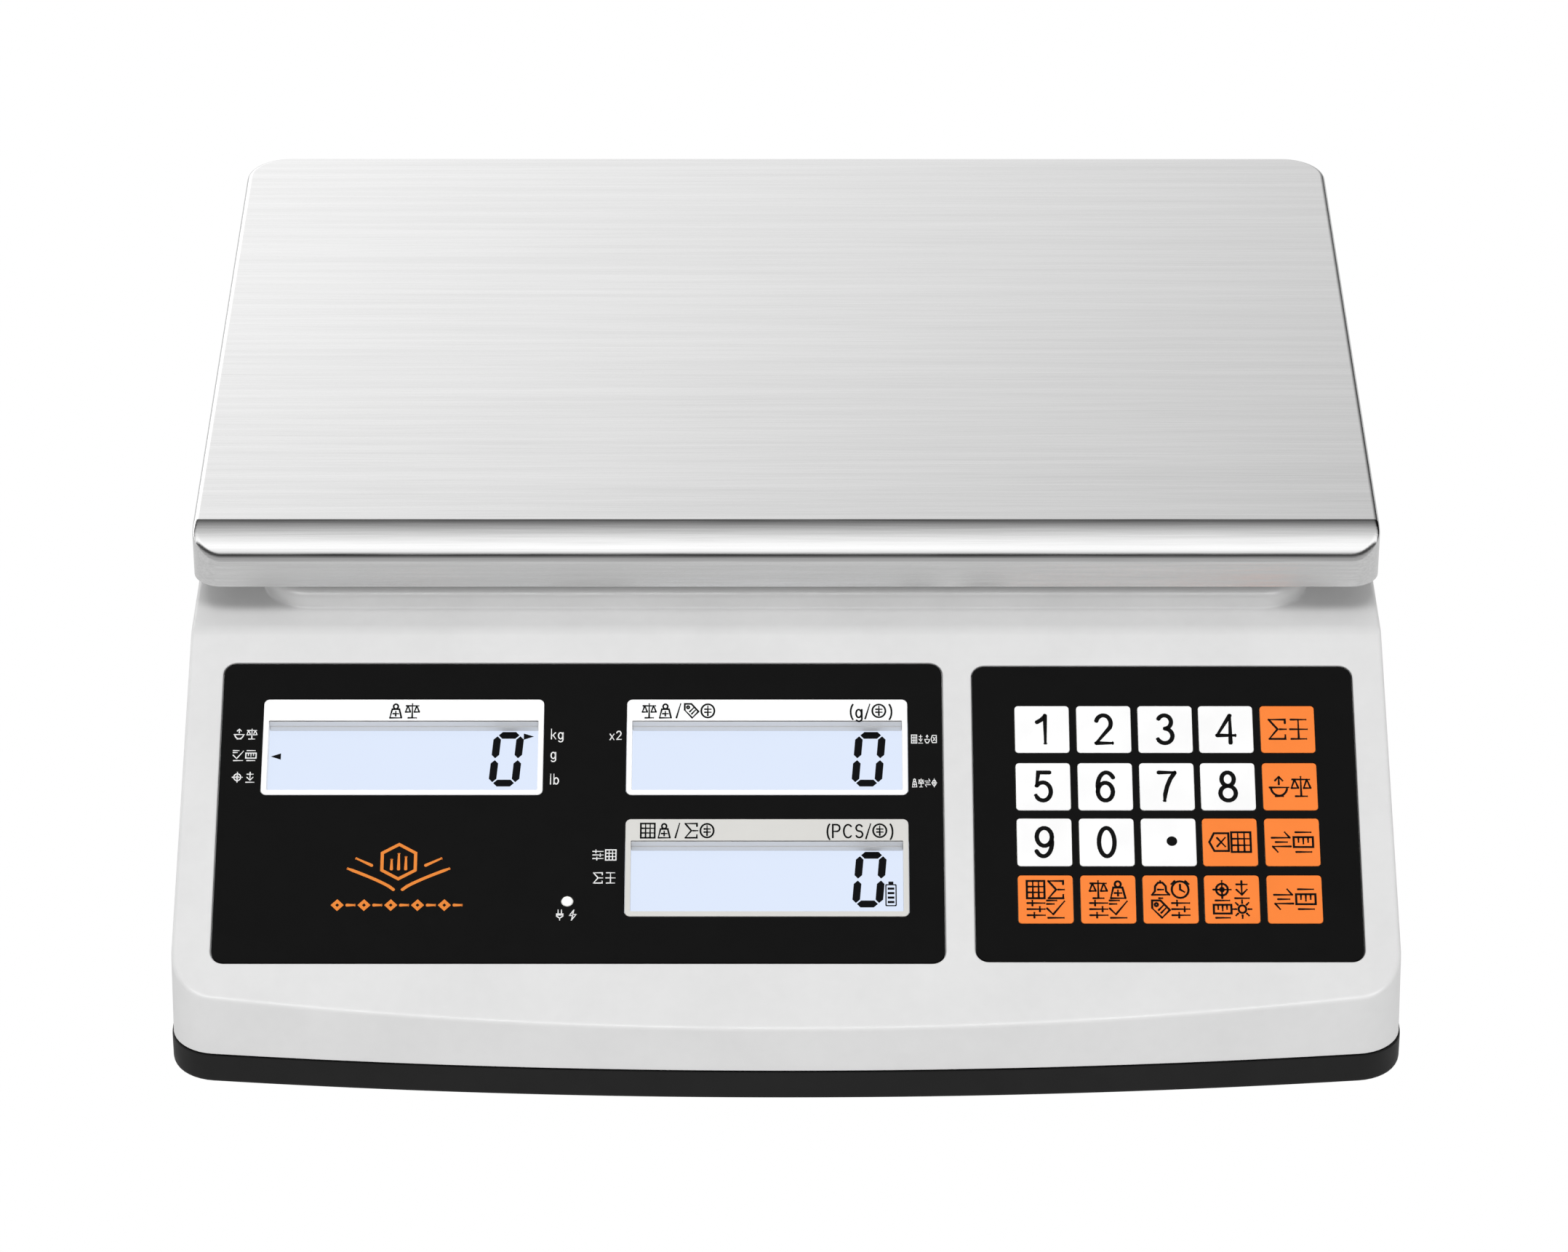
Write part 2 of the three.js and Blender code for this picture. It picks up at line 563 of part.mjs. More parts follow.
// The switch's paddle: a shallow vee along Y, drawn about its own pivot and extruded along Z.
function rockerPaddle() {
  const outline = [[-3, -7.8], [-3, 7.8], [2.5, 7.8], [1.4, 0], [2.5, -7.8]];
  const shape = new THREE.Shape(outline.map(([x, y]) => new THREE.Vector2(x, y)));
  return prism(shape, -4.8, 4.8);
}

function mainBoard() {
  const z = FLOOR_TOP + BOARD.lift;
  const top = z + BOARD.thick;
  const body = [block(BOARD.x0, BOARD.x1, BOARD.y0, BOARD.y1, z, top)];
  for (const [x0, x1, y0, y1, height] of BOARD_PARTS) body.push(block(x0, x1, y0, y1, z + 1, top + height));
  for (const [x, y] of BOARD_PILLARS) body.push(rod(x, y, 3, FLOOR_TOP + GAP, z + 0.5, 8));
  return carve(body);
}

function displayBoard() {
  const { x0, x1, s0, s1, thick } = DISPLAY_BOARD;
  const top = LCD_DEPTH + LCD.thick + GAP;
  return boxInSlope(x0, x1, s0, s1, top, top + thick);
}

function lcdModule({ x, s }) {
  const centre = s + (FRAME_TITLE - FRAME_FOOT) / 2;
  return boxInSlope(x - LCD.width / 2, x + LCD.width / 2, centre - LCD.height / 2, centre + LCD.height / 2,
    LCD_DEPTH, LCD_DEPTH + LCD.thick);
}

function chargeLed() {
  const { r, x, s } = LED;
  const flange = r + 0.5;
  const profile = [[0, -9.6], [flange, -9.6], [flange, -8.6], [r, -8.6], [r, -0.6], [1, -0.1], [0, -0.1]];
  return turned(x, -s, profile, 12);
}

function transformer() {
  const t = TRANSFORMER;
  const c = COIL;
  return carve([
    block(t.x0, t.x1, t.y0, t.y1, FLOOR_TOP + GAP, t.top),
    block(c.x0, c.x1, c.y0, c.y1, c.z0, c.z1),
  ]);
}

function battery() {
  const { x0, x1, y0, y1, z0, z1 } = BATTERY;
  const t = TERMINAL;
  const left = x0 + t.x;
  const terminals = [y0 + t.y, y1 - t.y - t.length].map((y) =>
    block(left, left + t.width, y, y + t.length, z1 - 1, z1 + t.height));
  return carve([block(x0, x1, y0, y1, z0, z1), ...terminals]);
}

// Steel stop screw that the cell's live end meets at full deflection.
function overloadStop() {
  const floor = FLOOR_TOP + GAP;
  const step = floor + STOP.footHeight;
  const tip = CELL.z0 - GAP - DEFLECTION;
  const profile = [[0, floor], [STOP.foot, floor], [STOP.foot, step], [STOP.r, step], [STOP.r, tip], [0, tip]];
  return turned(STOP.x, CENTRE_Y, profile);
}

// Screened cable from the cell to the main board.
function cellCable() {
  const route = new THREE.CatmullRomCurve3([
    new THREE.Vector3(CELL.x0 - 1, CENTRE_Y, 57),
    new THREE.Vector3(-82, CENTRE_Y - 2, 55),
    new THREE.Vector3(-92, 30, 30),
    new THREE.Vector3(-84, -20, 19),
    new THREE.Vector3(-62, -60, 20),
    new THREE.Vector3(-60, -84.5, 21),
  ]);
  const section = new THREE.Shape();
  section.absarc(0, 0, 2, 0, 2 * Math.PI);
  return new THREE.ExtrudeGeometry(section, { steps: 26, extrudePath: route, curveSegments: 4 });
}

// Flat tail from the keypad's membrane to its connector, drawn from the side.
function keypadRibbon() {
  const start = new THREE.Vector3(0, -RIBBON.s, -KEYPAD_POCKET).applyMatrix4(fascia.matrix);
  const bend = new THREE.Vector3(0, -RIBBON.s, -RIBBON.drop).applyMatrix4(fascia.matrix);
  const foot = FLOOR_TOP + RIBBON.foot + GAP;
  const half = RIBBON.thick / 2;
  return sideways(
    [
      [start.y - half, start.z],
      [bend.y - half, bend.z],
      [bend.y - half, foot],
      [bend.y + half, foot],
      [bend.y + half, bend.z],
      [start.y + half, start.z],
    ],
    RIBBON.x0,
    RIBBON.x1,
  );
}

// ---------------------------------------------------------------- pieces

piece("top_housing", topHousing(), WHITE_PLASTIC);
piece("base_tray", baseTray(), BLACK_PLASTIC);
piece("display_overlay", displayOverlay(), PANEL_BLACK, fascia);
piece("keypad_overlay", keypadOverlay(), PANEL_BLACK, fascia);
piece(
  "keypad_membrane",
  plate(KEYPAD.x0 + 1, KEYPAD.x1 - 1, KEYPAD.s0 + 1, KEYPAD.s1 - 1, PANEL_CORNER,
    KEYPAD_POCKET - GAP - MEMBRANE_THICK, KEYPAD_POCKET - GAP),
  BOARD_GREEN,
  fascia,
);
piece("charge_led", chargeLed(), KEY_WHITE, fascia);
for (const window of WINDOWS) piece(window.name, lcdModule(window), LCD_GLASS, fascia);
piece("display_board", displayBoard(), BOARD_GREEN, fascia);

KEY_NAMES.forEach((row, r) => {
  row.forEach((name, c) => {
    const orange = c === KEY_COLUMNS.length - 1 || r === KEY_ROWS.length - 1 || name === "key_clear";
    piece(name, keyCap(KEY_COLUMNS[c], KEY_ROWS[r]), orange ? KEY_ORANGE : KEY_WHITE, fascia);
  });
});

piece("main_board", mainBoard(), BOARD_GREEN);
piece("battery", battery(), BLACK_PLASTIC);
piece("transformer", transformer(), STEEL);
piece("battery_door", doorBlock(0, 0), BLACK_PLASTIC);
piece("power_inlet", powerInlet(), BLACK_PLASTIC);
piece("switch_housing", switchHousing(), BLACK_PLASTIC);
const rocker = piece("rocker", rockerPaddle(), BLACK_PLASTIC);
rocker.position.set(WELL.floor + GAP, SWITCH.y, WELL_Z);
rocker.rotation.z = -THREE.MathUtils.degToRad(ROCKER.rest);

piece("load_cell", loadCell(), ALUMINIUM);
piece("cell_bracket", cellBracket(), IRON_PAINT);
piece("cell_base_bolts", cellBolts(-1, CELL.z1 + GAP, 34), STEEL);
piece("overload_stop", overloadStop(), STEEL);
piece("load_cell_cable", cellCable(), RUBBER);
piece("keypad_ribbon", keypadRibbon(), KEY_WHITE);
piece("cell_top_plate", cellPlate(), STEEL);
piece("cell_top_bolts", cellBolts(1, CELL_PLATE.z1 + GAP, 52), STEEL);
piece("pan_support", panSupport(), IRON_PAINT);
piece("pan", carve([panBody(0, PAN_BOTTOM)], [panBody(PAN_SHEET, PAN_BOTTOM - 3)]), STAINLESS);
piece(
  "spirit_level",
  rod(LEVEL.x, LEVEL.y, LEVEL.r - GAP, PLATFORM_TOP - LEVEL.depth + GAP, PLATFORM_TOP - 0.2),
  LCD_GLASS,
);

for (const [place, x, y] of FEET) {
  const [cornerX, cornerY] = [Math.sign(x) * SPIDER.reachX, CENTRE_Y + Math.sign(y) * SPIDER.reachY];
  const seat = SPIDER.top + GAP;
  const rest = PAN_TOP - PAN_SHEET - GAP;
  const stud = [[0, seat], [STUD.foot, seat], [STUD.r, rest - 1], [STUD.foot, rest], [0, rest]];
  piece(`pan_stud_${place}`, turned(cornerX, cornerY, stud), RUBBER);
  piece(`foot_pad_${place}`, rod(x, y, FOOT_PAD.r, 0, FOOT_PAD.height, 24), RUBBER);
  piece(
    `foot_screw_${place}`,
    carve([
      rod(x, y, FOOT_DISC.r, FOOT_PAD.height + GAP, FOOT_DISC.top, 20),
      rod(x, y, FOOT_STUD.r, FOOT_DISC.top - 1, FOOT_STUD.top, 16),
    ]),
    BLACK_PLASTIC,
  );
}

export default scale;
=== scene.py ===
"""The looks of an electronic counting scale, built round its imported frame.

Shapes are drawn in millimetres in the scale's own frame (+X right, +Y back, +Z up), and settle() turns
each finished piece into the frame's metres.
"""
import math

import bmesh
import bpy
from mathutils import Matrix, Vector


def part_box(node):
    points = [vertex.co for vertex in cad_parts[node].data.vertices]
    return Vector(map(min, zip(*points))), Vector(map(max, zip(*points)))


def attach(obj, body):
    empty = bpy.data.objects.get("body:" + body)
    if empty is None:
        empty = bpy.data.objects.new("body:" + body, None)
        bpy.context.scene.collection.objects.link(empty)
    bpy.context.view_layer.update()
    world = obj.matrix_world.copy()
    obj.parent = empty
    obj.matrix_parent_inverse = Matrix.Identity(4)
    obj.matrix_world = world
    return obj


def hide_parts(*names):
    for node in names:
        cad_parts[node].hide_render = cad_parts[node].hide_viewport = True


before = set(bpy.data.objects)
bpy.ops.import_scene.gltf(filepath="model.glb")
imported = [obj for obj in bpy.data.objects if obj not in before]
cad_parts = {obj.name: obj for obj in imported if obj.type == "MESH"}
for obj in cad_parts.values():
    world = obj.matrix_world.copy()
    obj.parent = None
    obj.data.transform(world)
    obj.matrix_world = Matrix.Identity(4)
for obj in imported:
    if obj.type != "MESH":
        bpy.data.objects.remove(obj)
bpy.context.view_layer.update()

MM = 0.001

# ---------------------------------------------------------------- driving dimensions, as in the CAD
BODY_HALF = 172
BODY_FRONT = -179.25
BODY_BACK = 173
FRONT_RADIUS = 1560
FRONT_CORNER = 13.5
BACK_CORNER = 21
BASE_BOTTOM = 7
FLOOR_TOP = 9.8
PARTING = 16
DECK = 93.3
PLATFORM_TOP = 99.3
WALL = 2.8
HOUSING_STEP = 0.4
LEAN = 1.5 / (DECK - PARTING)
CREASE_Y = -69.1
SLOPE_DEG = 30
DISPLAY = (-160.3, 44.5, 11.1, 106.3)  # x0, x1, s0, s1; s runs down the slope from the crease
KEYPAD = (52.6, 161.2, 12, 105.8)
PANEL_CORNER = 3.8
OVERLAY_DEPTH = 0.3
OVERLAY_THICK = 1.2
WINDOWS = {"weight": (-108.5, 38.1), "unit": (-5.4, 38.1), "total": (-5.4, 76.3)}
FRAME_SIZE = (79.6, 30.6)
FRAME_SIDE = 1.55
FRAME_TITLE = 6.8
FRAME_FOOT = 1.6
LCD_DEPTH = 5.8
LED = (-61.2, 86.7)
KEY_COLUMNS = (72.5, 90, 107.4, 124.6, 142.1)
KEY_ROWS = (32.5, 50.8, 68.4, 86.3)
KEY_HALF = (7.7, 7.5)
KEY_TOP = 0.2  # depth of the keys' faces below the slope
PLATFORM = (-150.5, 150.5, -57.8, 160)
PLATFORM_CORNER = 14
HATCH_RADIUS = 35
WELL = (68, 150, 22, 48)  # y0, y1, z0, z1
WELL_FLOOR = 166
WELL_Z = 35
INLET_Y = 128
SWITCH_Y = 86
POSTS = ((160, -148), (160, 20), (152, 152), (-160, -148), (-160, 20), (-152, 152))
LEVEL = (-125, -35)
RIM_EASE = 1.15  # how far the housing's outer edges are eased, and the crease between deck and slope
CREASE_EASE = 2.2
DOOR = (-109, 0, 86, 164)
DOOR_TRAVEL = 12
FOOT_PLACES = {"front_left": (-135, -135), "front_right": (135, -135), "back_left": (-135, 135),
               "back_right": (135, 135)}
BATTERY = (-106, -3, 89, 161)
ARM = (120, 80)  # from the hub to a pan stud, across and back
HUB_SCREW_REACH = 15
BACKING = (50.6, 163, 10, 107.8)  # x0, x1, s0, s1 of the plate under the keypad
SIDE_FACE = WELL_FLOOR + 2.3  # the outer faces of the inlet and the switch
PANE_HALF = (41, 13.5)
KEYPAD_POCKET = 2.6
DISPLAY_POCKET = 1.8
POCKET_RIM = 0.45
THROUGH_SLOPE = (-9, 1)  # span of a cutter through the slope, square to it
THROUGH_SIDE = (155, 180)  # span of a cutter through the right wall
VENTS = range(52, 117, 8)
VENT = (3, 105, 145)  # width, y0, y1
FOOT_DISC = (14.4, 0.8, 22)  # radius, depth and number of its notches
FOOT_THREAD = (3.2, 3.8, 1.25)  # core and crest radius, pitch
PADDLE_HALF = (7.8, 4.8)
PADDLE_TURN = -8  # degrees, at rest
PAN_HALF = 170
PAN_FRONT = -61.3
PAN_BACK = 179.2
PAN_TOP = 118.4
PAN_BOTTOM = 102.6
PAN_SHEET = 1.2
PAN_CORNERS = (8.5, 8.5, 13, 13)
PAN_EASE = 1.7
BAND_Y = -50  # where the pan's face starts to curl down
BAND_RUN = 10.9
BAND_TILT = (12, 47)  # degrees, where the curl starts and ends
DIGIT_X = {"weight": -79.4, "unit": 23.4, "total": 23.4}
DIGIT_S = 16.35  # middle of the digits below a frame's upper edge, on the pane
LCD_ARROWS = ((-73.2, 31.9, 1), (-144.8, 38.3, -1))  # x, s, and to which side it points
BATTERY_MARK = (29.4, 82)
TITLE_S = 3.75  # middle of the title marks below a frame's upper edge
TITLE_WORD = (3.9, 4.1)  # the same for words, and their height
TITLE_ICON = (3.9, 4.5)
SIDE_ROW = (2.9, 3.2, 3.6)  # an icon's width and height, and the pitch
FINE_ROW = (1.5, 2.6, 1.85)
EMBLEM = (-108.6, 74.5)
EMBLEM_FOOT = -88.1  # the row of diamonds under it
KEY_NAMES = (("key_1", "key_2", "key_3", "key_4", "key_total"),
             ("key_5", "key_6", "key_7", "key_8", "key_tare"),
             ("key_9", "key_0", "key_point", "key_clear", "key_unit_a"),
             ("key_quantity", "key_unit_weight", "key_alarm", "key_zero", "key_unit_b"))
ORANGE_KEYS = KEY_NAMES[3] + ("key_total", "key_tare", "key_clear", "key_unit_a")
KEY_LABELS = {"key_total": ("sum", "plus"), "key_tare": ("bowl", "balance"), "key_clear": ("cross", "grid"),
              "key_unit_a": ("swap", "ruler"), "key_unit_b": ("swap", "ruler"), "key_point": (".",),
              "key_quantity": ("grid", "sum", "sliders", "steady"),
              "key_unit_weight": ("balance", "weight", "sliders", "steady"),
              "key_alarm": ("bell", "clock", "tag", "sliders"),
              "key_zero": ("target", "down", "ruler", "sun")}
KEY_LABELS.update({"key_%d" % n: (str(n),) for n in range(10)})


def box_mm(node):
    """A CAD node's lowest and highest corner, in millimetres."""
    low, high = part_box(node)
    return low / MM, high / MM


PAN_LOW, PAN_HIGH = box_mm("pan")
CENTRE_Y = (PAN_LOW.y + PAN_HIGH.y) / 2

# The slope's own frame: x to the right, y up the slope from the crease, z outwards
SLOPE = Matrix.Translation((0, CREASE_Y, DECK)) @ Matrix.Rotation(math.radians(SLOPE_DEG), 4, "X")

# What mirror-like surfaces see, as (angle in degrees from the back up over to the front, brightness)
ROOM_BANDS = ((0, 0.8), (20, 1.17), (27, 1.09), (31, 0.88), (35, 0.67), (43, 0.38), (47, 0.02),
              (54, 0.02), (60, 0.17), (70, 0.42), (80, 0.67), (90, 0.93), (100, 1.21), (112, 1.46),
              (119, 0.8), (125, 0.05), (140, 0.05), (152, 0.42), (180, 0.55))
ROOM_ACROSS = (2.0, 0.0)
SOFT_LIGHT = (0.632, 0.558)  # from the front and from the back
KEY_LIGHT = 15.8
EDGE_LIGHT = 12
STRIP_LIGHT = 40
FILL_LIGHT = 0.04
MIRRORED_TABLE = 0.68
WHITE = (1, 1, 1, 1)


# ---------------------------------------------------------------- camera, stage and light
def add_camera():
    data = bpy.data.cameras.new("camera")
    data.lens = 146.56
    data.sensor_width = 36
    data.sensor_fit = "HORIZONTAL"
    data.shift_x = -0.0014
    data.clip_start = 0.05
    data.clip_end = 50
    camera = bpy.data.objects.new("camera", data)
    camera.location = (0, -1.63325, 1.034)
    camera.rotation_euler = (math.radians(90 - 31), 0, 0)
    bpy.context.scene.collection.objects.link(camera)
    bpy.context.scene.camera = camera



def add_node(tree, kind, inputs=None, **settings):
    """A shader node with its settings. Each input is given a value, or linked to another node's output."""
    made = tree.nodes.new(kind)
    for name, value in settings.items():
        setattr(made, name, value)
    for name, value in (inputs or {}).items():
        if isinstance(value, bpy.types.NodeSocket):
            tree.links.new(value, made.inputs[name])
        else:
            made.inputs[name].default_value = value
    return made


def carried(tree, source, low, high, to_low, to_high):
    """A value carried from low..high to to_low..to_high."""
    inputs = {"Value": source, "From Min": low, "From Max": high, "To Min": to_low, "To Max": to_high}
    return add_node(tree, "ShaderNodeMapRange", inputs).outputs[0]


def multiplied(tree, first, second):
    """The product of two colours."""
    inputs = {"Fac": 1, "Color1": first, "Color2": second}
    return add_node(tree, "ShaderNodeMixRGB", inputs, blend_type="MULTIPLY").outputs[0]


def world_light():
    """A white studio. Diffuse light comes softly from all round; mirror-like surfaces see a room banded by
    the angle up over the scale from the back to the front, and brighter on the left behind the scale."""
    world = bpy.data.worlds.new("studio")
    bpy.context.scene.world = world
    world.use_nodes = True
    tree = world.node_tree
    tree.nodes.clear()
    direction = add_node(tree, "ShaderNodeTexCoord").outputs["Generated"]
    axes = add_node(tree, "ShaderNodeSeparateXYZ", {0: direction}).outputs
    angle = add_node(tree, "ShaderNodeMath", {0: axes["Z"], 1: axes["Y"]}, operation="ARCTAN2").outputs[0]
    turn = carried(tree, angle, 0, math.pi, 0, 1)
    bands = add_node(tree, "ShaderNodeValToRGB", {0: turn})
    fill_ramp(bands, [(degrees / 180, value) for degrees, value in ROOM_BANDS])
    behind = carried(tree, turn, 45 / 180, 60 / 180, 1, 0)
    across = carried(tree, axes["X"], -0.5, 0.5, *ROOM_ACROSS)
    sided = add_node(tree, "ShaderNodeMixRGB", {"Fac": behind, "Color1": WHITE, "Color2": across})
    room = multiplied(tree, bands.outputs[0], sided.outputs[0])
    strength = carried(tree, axes["Y"], -1, 1, *SOFT_LIGHT)
    soft = add_node(tree, "ShaderNodeBackground", {"Color": WHITE, "Strength": strength})
    mirrored = add_node(tree, "ShaderNodeBackground", {"Color": room})
    glossy = add_node(tree, "ShaderNodeLightPath").outputs["Is Glossy Ray"]
    mix = add_node(tree, "ShaderNodeMixShader", {"Fac": glossy, 1: soft.outputs[0], 2: mirrored.outputs[0]})
    add_node(tree, "ShaderNodeOutputWorld", {"Surface": mix.outputs[0]})


def fill_ramp(ramp, stops):
    """Sets a colour ramp's stops from (place, grey) or (place, colour) pairs."""
    elements = ramp.color_ramp.elements
    while len(elements) > 1:
        elements.remove(elements[-1])
    for i, (place, value) in enumerate(stops):
        element = elements[0] if i == 0 else elements.new(place)
        element.position = place
        element.color = value if isinstance(value, tuple) else (value, value, value, 1)


def add_floor():
    """A lit white table, so that the scale stands in plain white without a shadow."""
    bm = bmesh.new()
    bmesh.ops.create_grid(bm, x_segments=2, y_segments=2, size=12)
    floor = object_from(bm, "floor")
    f = Finish("floor_glow", (0, 0, 0, 1), 1, Specular_IOR_Level=0, Emission_Color=WHITE)
    glossy = add_node(f.tree, "ShaderNodeLightPath").outputs["Is Glossy Ray"]
    f.feed("Emission Strength", carried(f.tree, glossy, 0, 1, 1, MIRRORED_TABLE))
    floor.data.materials.append(f.material)


def softbox(name, place, size, energy):
    """A rectangular light at a place, aimed at the scale."""
    data = bpy.data.lights.new(name, "AREA")
    data.shape = "RECTANGLE"
    data.size, data.size_y = size
    data.energy = energy
    light = bpy.data.objects.new(name, data)
    light.location = place
    light.rotation_euler = (-Vector(place)).to_track_quat("-Z", "Y").to_euler()
    bpy.context.scene.collection.objects.link(light)
    return light


def add_lights(housing_shell):
    """A key light high over the front. The others reach the housing alone: three draw the highlights on its
    front edge and corners, and the last fills the shadow under the pan."""
    softbox("key_light", (-0.2, -0.7, 1.9), (1.4, 0.8), KEY_LIGHT).visible_glossy = False
    lit = bpy.data.collections.new("lit_alone")
    lit.objects.link(housing_shell)
    for name, place, size, energy in (("left_light", (-1.15, -1.5, 0.95), (0.4, 0.4), EDGE_LIGHT),
                                      ("right_light", (1.15, -1.5, 0.95), (0.4, 0.4), EDGE_LIGHT),
                                      ("strip_light", (0, -1.9, 1.3), (3.2, 0.3), STRIP_LIGHT)):
        light = softbox(name, place, size, energy)
        light.visible_diffuse = False
        light.light_linking.receiver_collection = lit
    fill = softbox("fill_light", (0, CENTRE_Y * MM, (PAN_BOTTOM - 0.4) * MM), (0.336, 0.236), FILL_LIGHT)
    fill.rotation_euler = (0, 0, 0)
    fill.visible_glossy = fill.visible_camera = False
    fill.light_linking.receiver_collection = lit


# ---------------------------------------------------------------- materials
def srgb(red, green, blue):
    """A colour given as on a screen, 0 to 255, as the linear colour that shaders take."""
    def linear(c):
        c /= 255
        return c / 12.92 if c <= 0.04045 else ((c + 0.055) / 1.055) ** 2.4
    return linear(red), linear(green), linear(blue), 1


class Finish:
    """A Principled material, with the few node patterns that the pieces share."""

    def __init__(self, name, colour, roughness, **values):
        self.material = bpy.data.materials.new(name)
        self.material.use_nodes = True
        self.tree = self.material.node_tree
        self.shader = self.tree.nodes["Principled BSDF"]
        self.colour = colour
        for socket, value in {"Base_Color": colour, "Roughness": roughness, **values}.items():
            self.shader.inputs[socket.replace("_", " ")].default_value = value
        self.place = add_node(self.tree, "ShaderNodeTexCoord").outputs["Object"]
        self.bump = None

    def feed(self, socket, source):
        self.tree.links.new(source, self.shader.inputs[socket])

    def noise(self, size, detail=2.0, stretch=(1, 1, 1), roughness=0.5):
        """Noise whose features are about size millimetres across, longer along an axis by its stretch."""
        scale = [1 / (size * MM * longer) for longer in stretch]
        mapping = add_node(self.tree, "ShaderNodeMapping", {"Vector": self.place, "Scale": scale})
        inputs = {"Vector": mapping.outputs[0], "Scale": 1, "Detail": detail, "Roughness": roughness}
        return add_node(self.tree, "ShaderNodeTexNoise", inputs).outputs["Fac"]

    def spread(self, source, low, high):
        """A noise's middle range carried to low..high."""
        return carried(self.tree, source, 0.3, 0.7, low, high)

    def vary_colour(self, source, amount):
        """Lightens and darkens the colour so far by up to amount."""
        socket = self.shader.inputs["Base Color"]
        colour = socket.links[0].from_socket if socket.is_linked else self.colour
        self.feed("Base Color", multiplied(self.tree, colour, self.spread(source, 1 - amount, 1 + amount)))
        return self

    def vary_roughness(self, source, low, high):
        self.feed("Roughness", self.spread(source, low, high))
        return self

    def raise_by(self, source, height, strength=1.0):
        """Bump of height millimetres, over any bump that is there."""
        inputs = {"Strength": strength, "Distance": height * MM, "Height": source}
        if self.bump:
            inputs["Normal"] = self.bump
        self.bump = add_node(self.tree, "ShaderNodeBump", inputs).outputs[0]
        self.feed("Normal", self.bump)
        return self


def moulded(name, colour, roughness, grain=0.35, height=0.012, mottle=0.025, shine=0.45):
    """Injection-moulded plastic: a fine spark texture, faint flow mottling and uneven gloss."""
    f = Finish(name, colour, roughness, Specular_IOR_Level=shine)
    f.vary_colour(f.noise(28, 3), mottle).vary_colour(f.noise(4, 2), mottle * 0.4)
    f.vary_roughness(f.noise(9, 3), roughness - 0.05, roughness + 0.07)
    f.raise_by(f.noise(grain, 3), height)
    return f.material


def printed_film(name, colour, roughness, emboss=0.05):
    """Screen-printed polyester: an even, velvety skin over a slight orange peel."""
    f = Finish(name, colour, roughness, Specular_IOR_Level=0.04)
    f.vary_colour(f.noise(14, 2), 0.03)
    f.vary_roughness(f.noise(6, 3), roughness - 0.04, roughness + 0.05)
    f.raise_by(f.noise(2.2, 2), emboss * 0.1).raise_by(f.noise(0.12, 2), 0.004)
    return f.material


def brushed_steel(name, colour, roughness, along=(60, 1, 1), contrast=0.07, height=0.006):
    """Sheet steel with long fine scratches all along one axis."""
    f = Finish(name, colour, roughness, Metallic=1.0)
    fine = f.noise(0.55, 3, along, 0.6)
    broad = f.noise(2.4, 2, along)
    f.vary_colour(fine, contrast).vary_colour(broad, contrast * 0.5)
    f.vary_roughness(fine, roughness - 0.06, roughness + 0.08)
    f.raise_by(fine, height).raise_by(f.noise(60, 1), 0.05)
    return f.material


def worked_metal(name, colour, roughness, grain=0.8, height=0.02, metallic=1.0):
    """Cast or plated metal: fine grain with cloudy colour."""
    f = Finish(name, colour, roughness, Metallic=metallic)
    f.vary_colour(f.noise(11, 4), 0.12).vary_colour(f.noise(0.9, 2), 0.06)
    f.vary_roughness(f.noise(5, 3), roughness - 0.08, roughness + 0.12)
    f.raise_by(f.noise(grain, 3), height)
    return f.material


def moulded_rubber(name, colour):
    f = Finish(name, colour, 0.75, Specular_IOR_Level=0.3)
    f.vary_colour(f.noise(5, 3), 0.15).vary_colour(f.noise(0.6, 2), 0.1)
    f.vary_roughness(f.noise(2, 3), 0.68, 0.88)
    f.raise_by(f.noise(0.3, 3), 0.02)
    return f.material


def lit_glass(name, colour, glow):
    """A backlit liquid-crystal pane: an even glow with a faint cloud under smooth glass."""
    f = Finish(name, (0.02, 0.02, 0.024, 1), 0.22, Emission_Strength=glow, Emission_Color=colour,
               Specular_IOR_Level=0.12)
    f.vary_colour(f.noise(18, 2), 0.1)
    f.vary_roughness(f.noise(7, 2), 0.18, 0.27)
    f.raise_by(f.noise(9, 1), 0.004)
    return f.material


def circuit_board(name):
    """Green solder mask with a maze of traces under it."""
    f = Finish(name, (0.015, 0.11, 0.045, 1), 0.35)
    cells = add_node(f.tree, "ShaderNodeTexVoronoi", {"Vector": f.place, "Scale": 1 / (3.5 * MM)},
                     feature="DISTANCE_TO_EDGE", distance="MANHATTAN").outputs["Distance"]
    traces = add_node(f.tree, "ShaderNodeValToRGB", {0: cells})
    trace, mask = (0.04, 0.2, 0.08, 1), (0.012, 0.1, 0.04, 1)
    fill_ramp(traces, [(0.0, trace), (0.08, trace), (0.1, mask)])
    f.feed("Base Color", traces.outputs[0])
    f.vary_colour(f.noise(6, 2), 0.08)
    f.raise_by(cells, 0.03, 0.4)
    return f.material


def gel(name, colour, glow=0.0):
    f = Finish(name, colour, 0.12, Coat_Weight=0.6, Emission_Strength=glow, Emission_Color=colour)
    f.vary_colour(f.noise(4, 2), 0.05)
    f.vary_roughness(f.noise(3, 2), 0.08, 0.18)
    f.raise_by(f.noise(1.5, 2), 0.004)
    return f.material


